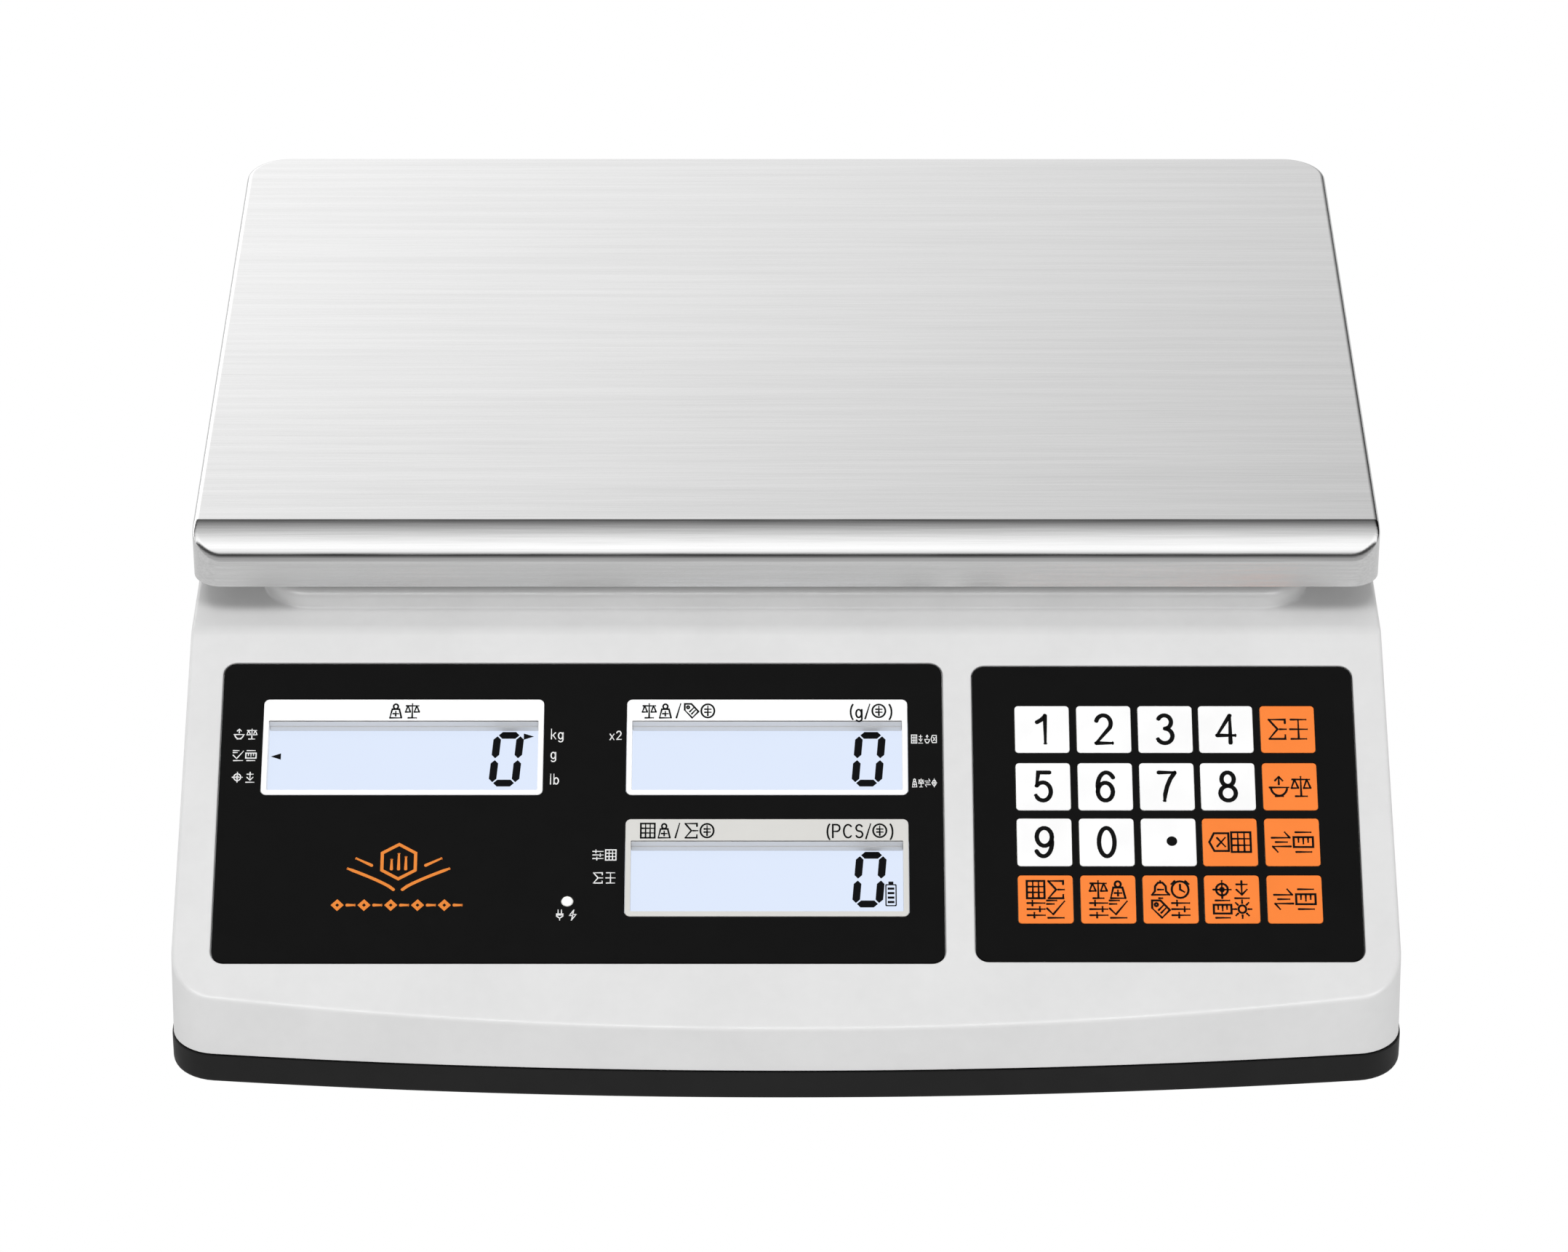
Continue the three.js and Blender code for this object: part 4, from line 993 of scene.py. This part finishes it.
def pan_solid(inset, bottom):
    """The pan's volume drawn in by inset, its edge rounded tightly at the front and more softly elsewhere."""
    depths = [PAN_EASE * c for c, _ in quarter(12)]
    half, front, back = PAN_HALF - inset, PAN_FRONT + inset, PAN_BACK - inset
    radii = [r - inset for r in PAN_CORNERS]

    def plan(d):
        return rounded(-half + d, half - d, front + d, back - d, tuple(r - d for r in radii), 12)

    bm = bmesh.new()
    rows = [[bm.verts.new((x, y, 0)) for x, y in plan(d)] for d in depths]
    bridge(bm, rows)
    bm.faces.new(rows[-1])
    for i in range(19):
        line = BAND_Y - 0.02 - i * 0.6
        bmesh.ops.bisect_plane(bm, geom=bm.verts[:] + bm.edges[:] + bm.faces[:], plane_co=(0, line, 0),
                               plane_no=(0, 1, 0))
    middle, tall = (front + back) / 2, (back - front) / 2
    for v in bm.verts:
        r = radii[0] if v.co.y < middle else radii[2]
        qx, qy = abs(v.co.x) - half + r, abs(v.co.y - middle) - tall + r
        edge = r - math.hypot(max(qx, 0), max(qy, 0)) - min(max(qx, qy), 0)
        ease = max(PAN_EASE - 0.4 * min(max((BAND_Y - v.co.y) / BAND_RUN, 0), 1) - inset, 0.3)
        near = max(ease - max(edge, 0), 0)
        v.co.z = pan_height(v.co.y, inset) - (ease - math.sqrt(ease ** 2 - near ** 2))
    rim = [e for e in bm.edges if e.is_boundary]
    skirt = bmesh.ops.extrude_edge_only(bm, edges=rim)["geom"]
    low = [v for v in skirt if isinstance(v, bmesh.types.BMVert)]
    for v in low:
        v.co.z = bottom
    bmesh.ops.holes_fill(bm, edges=[e for e in bm.edges if e.is_boundary], sides=0)
    return object_from(bm, "pan_sheet")


def pan():
    sheet = cut(pan_solid(0, PAN_BOTTOM), pan_solid(PAN_SHEET, PAN_BOTTOM - 3))
    settle(sheet, "pan", "stainless", STAINLESS, "pan", angle=10.5)


def spider():
    """A cast cross with ribbed arms, round end pads and a turned hub."""
    bottom, top = 101.5, 112
    reach = math.hypot(*ARM)
    profile = [(0, 73.5), (24.6, 73.5), (25, 74), (25, 98), (24.4, top - 0.8), (23.6, top), (0, top)]
    hub = turned("cross", profile, 0, CENTRE_Y, 64)
    pockets = []
    for side_x, side_y in ((1, 1), (-1, 1), (-1, -1), (1, -1)):
        end_x, end_y = ARM[0] * side_x, ARM[1] * side_y
        angle = math.atan2(end_y, end_x)
        place = Matrix.Translation((0, CENTRE_Y, 0)) @ Matrix.Rotation(angle, 4, "Z")

        def arm_at(inset):
            return [(0, -11 + inset), (reach, -8 + inset), (reach, 8 - inset), (0, 11 - inset)]
        arm = skin("arm", eased(arm_at, bottom, top, 0.8, 1.2), place)
        pad = upright("end", end_x, CENTRE_Y + end_y, 14, bottom, top, 48, 1.2)
        join(hub, arm, pad)
        for side in (-1, 1):
            y0, y1 = sorted((side * 1.4, side * 5.6))
            for x0, x1 in ((30, 76), (80, 126)):
                outline = rounded(x0, x1, y0, y1, 1.5, 4)
                pockets.append(prism("pocket", outline, bottom - 2, top - 3.5, place))
    cut(hub, merge("pockets", pockets))
    screw_places = arc(0, CENTRE_Y, HUB_SCREW_REACH, 90, 330, 2)
    cut(hub, *[upright("hole", x, y, 4.6, top - 4.6, top + 3, 32) for x, y in screw_places])
    settle(hub, "load_platform", "spider_aluminium", CAST_ALUMINIUM, "pan_support", angle=40)
    profile = [(0, top - 4.6), (4, top - 4.6), (4.1, top - 4.4), (4.1, top - 1.3), (3.8, top - 1),
               (0, top - 1)]
    screws = []
    for x, y in screw_places:
        head = turned("screw", profile, x, y, 32)
        screws.append(cut(head, prism("cutter", circle(x, y, 2.1, 6), top - 3.2, top)))
    settle(merge("hub_screws", screws), "load_platform", "zinc_steel", ZINC)
    profile = [(0, 112.3), (7.8, 112.3), (8.4, 113), (9, 115.4), (8.7, 116.4), (7.9, 116.8), (6.4, 116.9),
               (5.8, 116.5), (0, 116.5)]
    for place, (foot_x, foot_y) in FOOT_PLACES.items():
        x, y = math.copysign(ARM[0], foot_x), CENTRE_Y + math.copysign(ARM[1], foot_y)
        stud = turned("rubber_stud_" + place, profile, x, y)
        settle(stud, "load_platform", "stud_rubber", RUBBER, "pan_stud_" + place, angle=28)


# ---------------------------------------------------------------- display and keypad
def window_box(window):
    x, s = WINDOWS[window]
    return x - FRAME_SIZE[0] / 2, x + FRAME_SIZE[0] / 2, s - FRAME_SIZE[1] / 2, s + FRAME_SIZE[1] / 2


def overlay(name, area, holes):
    x0, x1, s0, s1 = area
    outline_at = slope_outline(x0 + 0.3, x1 - 0.3, s0 + 0.3, s1 - 0.3, PANEL_CORNER - 0.3)
    slab = skin(name, eased(outline_at, -OVERLAY_DEPTH - OVERLAY_THICK, -OVERLAY_DEPTH, 0.05, 0.2))
    cutters = [prism("hole", outline, -3, 1) for outline in holes]
    cut(slab, merge("holes", cutters))
    slab.data.transform(SLOPE)
    settle(slab, "body", "panel_film", OVERLAY_BLACK, name)


def overlays():
    holes = []
    for window in WINDOWS:
        x0, x1, s0, s1 = window_box(window)
        holes.append(slope_outline(x0 - 0.12, x1 + 0.12, s0 - 0.12, s1 + 0.12, 1.7)(0))
    overlay("display_overlay", DISPLAY, holes + [circle(LED[0], -LED[1], 1.8)])
    half_x, half_s = KEY_HALF[0] + 0.15, KEY_HALF[1] + 0.15
    key_holes = [slope_tile(x, s, half_x, half_s, 1.1, 4)(0) for x in KEY_COLUMNS for s in KEY_ROWS]
    overlay("keypad_overlay", KEYPAD, key_holes)


def window_frames():
    """Moulded frames with a title strip over a stepped opening, and the lit pane at its bottom. Two grey
    strips on the opening's upper wall are painted shade where the recess lies in shadow.
    """
    for window, (x, s) in WINDOWS.items():
        x0, x1, s0, s1 = window_box(window)
        frame_at = slope_outline(x0, x1, s0, s1, 1.6, 6)
        rim = skin(window + "_frame", eased(frame_at, -5.5, -OVERLAY_DEPTH, 0.05, 0.25))
        ox0, ox1, os0, os1 = x0 + FRAME_SIDE, x1 - FRAME_SIDE, s0 + FRAME_TITLE, s1 - FRAME_FOOT
        cut(rim, prism("cutter", slope_outline(ox0, ox1, os0, os1, 0.3, 2)(0), -9, 2))
        rim.data.transform(SLOPE)
        settle(rim, "body", "white_plastic", FRAME_GREY if window == "total" else FRAME_WHITE)
        # Two grey strips down the opening's upper wall, a thin one over a wider one: painted shade in two
        # tones where the recess is in shadow
        for name, width, top, bottom in (("upper", 0.35, 0.45, 3.4), ("lower", 0.6, 3.2, 5.6)):
            strip = slope_outline(ox0 + 0.05, ox1 - 0.05, os0 + 0.05, os0 + width, 0.1, 1)
            shade_piece = skin(window + "_painted_shade_" + name, eased(strip, -bottom, -top, 0.05, 0.05), SLOPE)
            settle(shade_piece, "body", "white_plastic", PAINTED_SHADE_GREY)
        centre = s + (FRAME_TITLE - FRAME_FOOT) / 2
        pane_at = slope_tile(x, centre, *PANE_HALF, 0.5, 3)
        pane = skin("lcd_" + window, eased(pane_at, -LCD_DEPTH - 4, -LCD_DEPTH, 0.1, 0.15), SLOPE)
        settle(pane, "body", "lcd_glass", LCD_PANE, "lcd_" + window)


SEGMENTS = {  # each bar of the digit, as its two ends in a box one unit wide and two high
    "a": ((0, 2), (1, 2)), "b": ((1, 2), (1, 1)), "c": ((1, 1), (1, 0)),
    "d": ((1, 0), (0, 0)), "e": ((0, 0), (0, 1)), "f": ((0, 1), (0, 2)),
}


def digit_zero(x, s):
    """A slanted seven-segment zero on a pane, centred at x, s."""
    wide, tall, thick, gap, slant = 6.5, 15.3, 2.15, 0.3, 0.083
    bars = []
    for (ax, ay), (bx, by) in SEGMENTS.values():
        a = Vector((ax * wide - wide / 2, ay * tall / 2 - tall / 2))
        b = Vector((bx * wide - wide / 2, by * tall / 2 - tall / 2))
        along = (b - a).normalized()
        across = Vector((-along.y, along.x)) * thick / 2
        inner = along * thick / 2
        a, b = a + along * gap, b - along * gap
        outline = [a, a + inner + across, b - inner + across, b, b - inner - across, a + inner - across]
        outline = [(x + p.x + slant * p.y, -s + p.y) for p in outline]
        bars.append(prism("bar", outline, -LCD_DEPTH - 0.02, -LCD_DEPTH + 0.04))
    return bars


def flat(outline, depth):
    """A thin filled mark on a plane of the slope at the given depth."""
    return prism("mark", outline, -depth - 0.02, -depth + 0.05)


def lcd_marks():
    marks = []
    for window, (_, s) in WINDOWS.items():
        marks += digit_zero(DIGIT_X[window], s - FRAME_SIZE[1] / 2 + DIGIT_S)
    for x, s, way in LCD_ARROWS:
        base = x - 1.4 * way
        marks.append(flat([(base, -s + way), (base, -s - way), (x + 1.5 * way, -s)], LCD_DEPTH))
    x, s = BATTERY_MARK
    shell = flat(rounded(x - 1.6, x + 1.6, -s - 3.7, -s + 3.2, 0.3, 2), LCD_DEPTH)
    cut(shell, prism("cutter", rounded(x - 1.25, x + 1.25, -s - 3.35, -s + 2.85, 0.2, 2), -9, 0))
    marks += [shell, flat(rounded(x - 0.7, x + 0.7, -s + 3.2, -s + 4, 0.1, 2), LCD_DEPTH)]
    marks += [flat(tile(x, -s - 2.4 + 1.4 * i, 0.95, 0.35, 0.1, 2), LCD_DEPTH) for i in range(4)]
    print_piece = merge("lcd_marks", marks)
    print_piece.data.transform(SLOPE)
    settle(print_piece, "body", "panel_film", LCD_INK)


def keys():
    for row, names in enumerate(KEY_NAMES):
        for column, name in enumerate(names):
            x, s = KEY_COLUMNS[column], KEY_ROWS[row]
            cap_at = slope_tile(x, s, *KEY_HALF, 1, 5)
            cap = skin(name + "_cap", eased(cap_at, -KEY_TOP - 0.8, -KEY_TOP, 0.1, 0.22), SLOPE)
            orange = name in ORANGE_KEYS
            slot = "key_orange" if orange else "key_white"
            settle(cap, name, slot, KEY_ORANGE if orange else KEY_WHITE, name)
            key_marks(name, x, s)


def key_marks(name, x, s):
    label = KEY_LABELS[name]
    digit = label[0].isdigit()
    ink = Print(KEY_TOP, 1.26 if digit else 0.62)
    if digit:
        ink.text(label[0], x, s, 9.9)
    elif label == (".",):
        ink.disc(x + 0.9, s - 0.3, 1.5)
    elif len(label) == 2:
        for i, icon in enumerate(label):
            ink.icon(icon, x - 3.1 + 6.2 * i, s, 5.4, 6.2)
    else:
        for i, icon in enumerate(label):
            ink.icon(icon, x - 2.75 + 5.5 * (i % 2), s - 3 + 6.1 * (i // 2), 4.9, 5.4)
    ink.settle_on(name, "panel_film", INK_BLACK, name + "_print")


def ring_line(x, y, r, start=0, end=360, steps=14):
    return arc(x, y, r, start, end, steps)


SIX = [oval(0.31, 0.5, 0.25, 0.45, 38, 180) + [(0.06, 0.335)], oval(0.275, 0.335, 0.215, 0.285)]
LETTERS = {  # the width of each character and its strokes, where capitals are one unit high
    "0": (0.55, [oval(0.275, 0.5, 0.22, 0.45, steps=28)]),
    "1": (0.42, [[(0.06, 0.72), (0.2, 0.81), (0.3, 0.95), (0.3, 0.05)]]),
    "2": (0.55, [oval(0.27, 0.69, 0.21, 0.26, 165, -35) + [(0.05, 0.05), (0.51, 0.05)]]),
    "3": (0.55, [oval(0.26, 0.735, 0.19, 0.215, 155, -90), oval(0.26, 0.285, 0.22, 0.235, 90, -155)]),
    "4": (0.57, [[(0.41, 0.05), (0.41, 0.95), (0.03, 0.3), (0.54, 0.3)]]),
    "5": (0.55, [[(0.47, 0.95), (0.14, 0.95), (0.085, 0.52)] + oval(0.265, 0.34, 0.225, 0.29, 140, -155)]),
    "6": (0.55, SIX),
    "7": (0.55, [[(0.04, 0.95), (0.51, 0.95), (0.38, 0.75), (0.28, 0.5), (0.22, 0.25), (0.2, 0.05)]]),
    "8": (0.55, [oval(0.275, 0.735, 0.175, 0.215), oval(0.275, 0.285, 0.22, 0.235)]),
    "9": (0.55, [[(0.55 - x, 1 - y) for x, y in line] for line in SIX]),
    "k": (0.45, [[(0.06, 0), (0.06, 1)], [(0.42, 0.64), (0.06, 0.26)], [(0.2, 0.4), (0.44, 0)]]),
    "g": (0.5, [oval(0.25, 0.33, 0.19, 0.31),
                [(0.46, 0.64), (0.46, -0.08)] + oval(0.26, -0.08, 0.2, 0.2, 0, -150)]),
    "l": (0.12, [[(0.06, 0), (0.06, 1)]]),
    "b": (0.5, [[(0.06, 0), (0.06, 1)], oval(0.27, 0.32, 0.19, 0.31)]),
    "x": (0.45, [[(0.03, 0), (0.42, 0.64)], [(0.03, 0.64), (0.42, 0)]]),
    "P": (0.58, [[(0.06, 0), (0.06, 1), (0.32, 1)] + oval(0.32, 0.74, 0.22, 0.26, 90, -90, 10)
                 + [(0.06, 0.48)]]),
    "C": (0.66, [oval(0.36, 0.5, 0.3, 0.5, 45, 315)]),
    "S": (0.56, [oval(0.29, 0.745, 0.21, 0.245, 25, 270) + oval(0.29, 0.255, 0.23, 0.245, 90, -155)]),
    "(": (0.24, [oval(0.5, 0.45, 0.4, 0.75, 128, 232)]),
    ")": (0.24, [oval(-0.26, 0.45, 0.4, 0.75, 52, -52)]),
    "/": (0.36, [[(0.02, -0.08), (0.34, 1.05)]]),
}

ICONS = {  # generic pictograms, as strokes in a box one unit square
    "weight": [[(0.08, 0), (0.92, 0), (0.76, 0.62), (0.24, 0.62), (0.08, 0)], ring_line(0.5, 0.81, 0.17),
               [(0.3, 0.3), (0.7, 0.3)], [(0.5, 0.14), (0.5, 0.46)]],
    "balance": [[(0.5, 0), (0.5, 1)], [(0.05, 0.86), (0.95, 0.86)], [(0.2, 0), (0.8, 0)],
                [(0.18, 0.86), (0, 0.42), (0.36, 0.42), (0.18, 0.86)],
                [(0.82, 0.86), (0.64, 0.42), (1, 0.42), (0.82, 0.86)]],
    "bowl": [[(0, 0.45), (1, 0.45)], ring_line(0.5, 0.45, 0.42, 180, 360), [(0.3, 0), (0.7, 0)],
             [(0.5, 0.6), (0.5, 1)], [(0.3, 0.8), (0.5, 1), (0.7, 0.8)]],
    "target": [ring_line(0.5, 0.5, 0.34), [(0.5, 0), (0.5, 1)], [(0, 0.5), (1, 0.5)],
               ring_line(0.5, 0.5, 0.1)],
    "sum": [[(0.95, 0.8), (0.95, 1), (0.1, 1), (0.55, 0.5), (0.1, 0), (0.95, 0), (0.95, 0.2)],
            [(0.66, 0.5), (1, 0.5)]],
    "plus": [[(0.5, 0.05), (0.5, 0.95)], [(0.05, 0.5), (0.95, 0.5)], [(0.1, 0), (0.9, 0)],
             [(0.1, 1), (0.9, 1)]],
    "cross": [[(0, 0.5), (0.25, 0.95), (1, 0.95), (1, 0.05), (0.25, 0.05), (0, 0.5)],
              [(0.4, 0.28), (0.82, 0.72)],
              [(0.4, 0.72), (0.82, 0.28)]],
    "swap": [[(0, 0.72), (0.95, 0.72), (0.7, 1)], [(1, 0.28), (0.05, 0.28), (0.3, 0)],
             [(0.2, 0.5), (0.8, 0.5)]],
    "ruler": [[(0, 0.25), (1, 0.25), (1, 0.75), (0, 0.75), (0, 0.25)], [(0.25, 0.75), (0.25, 0.5)],
              [(0.5, 0.75), (0.5, 0.42)], [(0.75, 0.75), (0.75, 0.5)], [(0.1, 0), (0.9, 0)],
              [(0.1, 1), (0.9, 1)]],
    "grid": [[(0, 0), (1, 0), (1, 1), (0, 1), (0, 0)], [(0.34, 0), (0.34, 1)], [(0.67, 0), (0.67, 1)],
             [(0, 0.34), (1, 0.34)], [(0, 0.67), (1, 0.67)]],
    "sliders": [[(0, 0.85), (1, 0.85)], [(0, 0.5), (1, 0.5)], [(0, 0.15), (1, 0.15)],
                [(0.3, 0.7), (0.3, 1)],
                [(0.72, 0.36), (0.72, 0.64)], [(0.4, 0), (0.4, 0.3)]],
    "tag": [[(0, 0.55), (0, 1), (0.48, 1), (1, 0.45), (0.55, 0), (0, 0.55)],
            ring_line(0.24, 0.76, 0.09, steps=8),
            [(0.36, 0.44), (0.62, 0.7)], [(0.5, 0.28), (0.76, 0.54)]],
    "bell": [[(0, 0.2), (1, 0.2), (0.82, 0.4), (0.8, 0.7), (0.62, 0.9), (0.38, 0.9), (0.2, 0.7),
              (0.18, 0.4),
              (0, 0.2)], [(0.4, 0), (0.6, 0)], [(0.5, 0.9), (0.5, 1)], [(0.34, 0.5), (0.66, 0.5)]],
    "sun": [ring_line(0.5, 0.5, 0.22),
            *zip(arc(0.5, 0.5, 0.34, 0, 315, 7), arc(0.5, 0.5, 0.52, 0, 315, 7))],
    "clock": [ring_line(0.5, 0.5, 0.48, steps=20), [(0.5, 0.8), (0.5, 0.5), (0.74, 0.36)],
              [(0.2, 1), (0, 0.82)],
              [(0.8, 1), (1, 0.82)]],
    "steady": [[(0, 0.55), (0.35, 0.2), (1, 0.95)], [(0.05, 0), (0.95, 0)], [(0, 1), (0.55, 1)],
               [(0, 0.8), (0.4, 0.8)]],
    "coin": [ring_line(0.5, 0.5, 0.48, steps=20), [(0.28, 0.62), (0.72, 0.62)], [(0.28, 0.4), (0.72, 0.4)],
             [(0.5, 0.16), (0.5, 0.84)]],
    "bolt": [[(0.62, 1), (0.18, 0.46), (0.5, 0.46), (0.38, 0), (0.84, 0.56), (0.5, 0.56), (0.62, 1)]],
    "plug": [[(0.2, 0.6), (0.8, 0.6), (0.8, 0.4), (0.5, 0.2), (0.2, 0.4), (0.2, 0.6)],
             [(0.34, 0.6), (0.34, 1)],
             [(0.66, 0.6), (0.66, 1)], [(0.5, 0.2), (0.5, 0)], [(0.2, 0.5), (0.8, 0.5)]],
    "down": [[(0.5, 1), (0.5, 0.2)], [(0.2, 0.5), (0.5, 0.2), (0.8, 0.5)], [(0.1, 0), (0.9, 0)],
             [(0.2, 0.8), (0.8, 0.8)]],
    "slash": [[(0.2, 0), (0.8, 1)]],
}


class Print:
    """Flat marks on the slope: stroked icons, text and discs, gathered and settled as one piece."""

    def __init__(self, depth, stroke):
        self.depth, self.stroke, self.parts = depth, stroke, []

    def lines(self, polylines):
        """Strokes of one width with eased ends. One that turns back sharply is drawn in overlapping parts."""
        for line in polylines:
            points = [Vector(p) for i, p in enumerate(line) if i == 0 or math.dist(p, line[i - 1]) > 1e-4]
            steps = [b - a for a, b in zip(points, points[1:])]
            sharp = [i for i in range(1, len(steps)) if steps[i - 1].angle(steps[i]) > math.radians(95)]
            closed = math.dist(line[0], line[-1]) < 1e-4
            whole = closed and not sharp and steps[-1].angle(steps[0]) < math.radians(95)
            ends = [0, *sharp, len(points) - 1]
            for first, last in zip(ends, ends[1:]):
                part = points[first:last] if whole else points[first:last + 1]
                self.parts.append(self.ribbon(part, whole))

    def ribbon(self, points, closed):
        half = self.stroke / 2
        sides = []
        for i, here in enumerate(points):
            before = points[i - 1] if closed or i else None
            after = points[(i + 1) % len(points)] if closed or i < len(points) - 1 else None
            ways = [(b - a).normalized() for a, b in ((before, here), (here, after)) if a and b]
            way = (ways[0] + ways[-1]).normalized()
            across = Vector((-way.y, way.x)) * half / max(way.dot(ways[0]), 0.6)
            sides.append((here + across, here - across))
        if not closed:
            first, last = (points[0] - points[1]).normalized(), (points[-1] - points[-2]).normalized()
            for place, way, index in ((points[0], first, 0), (points[-1], last, len(sides))):
                across = Vector((-way.y, way.x)) * half * (0.55 if index else -0.55)
                sides.insert(index, (place + way * half * 0.7 + across, place + way * half * 0.7 - across))
        bm = bmesh.new()
        rows = [[bm.verts.new((p.x, p.y, -self.depth + z)) for p, z in
                 ((a, -0.02), (b, -0.02), (b, 0.04), (a, 0.04))] for a, b in sides]
        bridge(bm, rows + rows[:1] if closed else rows)
        if not closed:
            bm.faces.new(rows[0])
            bm.faces.new(rows[-1])
        return object_from(bm, "stroke")

    def icon(self, name, x, s, wide, tall):
        self.lines([[(x + (px - 0.5) * wide, -s + (py - 0.5) * tall) for px, py in line]
                    for line in ICONS[name]])

    def text(self, words, x, s, tall, align=0.5):
        """Stroked characters, centred on s; align is the share of their width to the left of x."""
        x -= align * tall * (sum(LETTERS[c][0] + 0.17 for c in words) - 0.17)
        for c in words:
            width, strokes = LETTERS[c]
            self.lines([[(x + px * tall, -s + (py - 0.5) * tall) for px, py in line] for line in strokes])
            x += (width + 0.17) * tall

    def disc(self, x, s, r):
        self.parts.append(prism("disc", circle(x, -s, r), -self.depth - 0.04, -self.depth + 0.04))

    def row(self, icons, x, s, wide, tall, pitch):
        """Icons in a row from x to the right; a slash takes half a place."""
        for icon in icons:
            step = pitch * 0.62 if icon == "slash" else pitch
            self.icon(icon, x + step / 2, s, wide * 0.5 if icon == "slash" else wide, tall)
            x += step

    def settle_on(self, body, slot, finish, name):
        piece = merge(name, self.parts)
        piece.data.transform(SLOPE)
        settle(piece, body, slot, finish)


def titles():
    """Black marks on the strips over the windows."""
    ink = Print(OVERLAY_DEPTH, 0.5)
    word_s, word_tall = TITLE_WORD
    x0, x1, s0, _ = window_box("weight")
    ink.row(("weight", "balance"), (x0 + x1) / 2 - 4.7, s0 + TITLE_S, *TITLE_ICON, 4.7)
    for window, icons, unit in (("unit", ("balance", "weight", "slash", "tag", "coin"), "(g/"),
                                ("total", ("grid", "weight", "slash", "sum", "coin"), "(PCS/")):
        x0, x1, s0, _ = window_box(window)
        ink.row(icons, x0 + 4, s0 + TITLE_S, *TITLE_ICON, 4.6)
        ink.text(unit, x1 - 10.6, s0 + word_s, word_tall, 1)
        ink.icon("coin", x1 - 8.1, s0 + TITLE_S, 3.9, 4.3)
        ink.text(")", x1 - 4.1, s0 + word_s, word_tall, 1)
    ink.settle_on("body", "panel_film", INK_BLACK, "title_print")


def side_labels():
    """White marks beside the windows."""
    ink = Print(OVERLAY_DEPTH, 0.34)
    for icons, x, s in ((("bowl", "balance"), -156.8, 34), (("steady", "ruler"), -156.8, 40.9),
                        (("target", "down"), -156.8, 47.8), (("sliders", "grid"), -54.6, 72.4),
                        (("sum", "plus"), -54.6, 79.6), (("plug", "bolt"), -65, 91.2)):
        ink.row(icons, x, s, *SIDE_ROW)
    for unit, s in (("kg", 34), ("g", 40.3), ("lb", 48.4)):
        ink.text(unit, -66.7, s, 3.2, 0)
    ink.text("x2", -46.6, 34.4, 2.9, 1)
    ink.settle_on("body", "key_white", INK_WHITE, "side_print")
    fine = Print(OVERLAY_DEPTH, 0.24)
    for s, icons in ((35.6, ("grid", "down", "bowl", "cross")),
                     (49.6, ("weight", "balance", "swap", "target"))):
        fine.row(icons, 35.3, s, *FINE_ROW)
    fine.settle_on("body", "key_white", INK_WHITE, "fine_print")


def emblem():
    """A plain orange device where a mark would stand: three bars in a hexagon over two swept lines."""
    x, s = EMBLEM
    ink = Print(OVERLAY_DEPTH, 0.9)
    ink.lines([arc(x, -s, 5.4, 30, 390, 6)])
    ink.lines([[(x + dx, -s - 2.4), (x + dx, -s + top)] for dx, top in ((-2, 0.6), (0, 2.4), (2, 1.4))])
    shares = [i / 10 for i in range(11)]
    for side in (-1, 1):
        sweep = [(x + side * (1.2 + 13 * t), -s - 8.8 + 6.6 * t ** 0.8) for t in shares]
        ink.lines([sweep, [(x + side * 7.5, -s - 1.2), (x + side * (7.5 + 4.4), -s - 1.2 + 2.2)]])
    for i in range(10):
        middle = x - 16.8 + 3.74 * i
        if i % 2:
            ink.lines([[(middle - 1.1, EMBLEM_FOOT), (middle + 1.1, EMBLEM_FOOT)]])
        else:
            ink.lines([arc(middle, EMBLEM_FOOT, 1.2, 180, -180, 4)])
    ink.settle_on("body", "key_orange", INK_ORANGE, "emblem_print")


def lamp():
    x, s = LED
    stem = [(0, -9.6), (2.175, -9.6), (2.175, -8.6), (1.675, -8.6), (1.675, -1)]
    profile = stem + oval(0, -1, 1.675, 0.85, 15, 75, 4) + [(0, -0.15)]
    piece = turned("charge_lamp", profile, x, -s, 32)
    piece.data.transform(SLOPE)
    settle(piece, "body", "lamp", LAMP, "charge_led")


# ---------------------------------------------------------------- inside
def inner_pieces():
    for node, finish, rounding in (
            ("keypad_membrane", MEMBRANE, 0), ("display_board", BOARD, 0), ("main_board", BOARD, 0.3),
            ("battery", BATTERY_CASE, 1.2), ("transformer", LAMINATIONS, 0.8), ("load_cell", MACHINED, 0.5),
            ("cell_bracket", CAST_PAINT, 0.8), ("cell_base_bolts", ZINC, 0.4), ("overload_stop", ZINC, 0.4),
            ("load_cell_cable", SHEATH, 0), ("keypad_ribbon", RIBBON, 0), ("cell_top_plate", ZINC, 0.6),
            ("cell_top_bolts", ZINC, 0.4)):
        dress(node, finish, rounding)


add_camera()
world_light()
add_floor()
bpy.context.scene.view_settings.view_transform = "Standard"

add_lights(housing())
tray()
case_screws()
battery_door()
feet()
power_inlet()
power_switch()
spirit_level()
pan()
spider()
overlays()
window_frames()
lcd_marks()
keys()
titles()
side_labels()
emblem()
lamp()
inner_pieces()
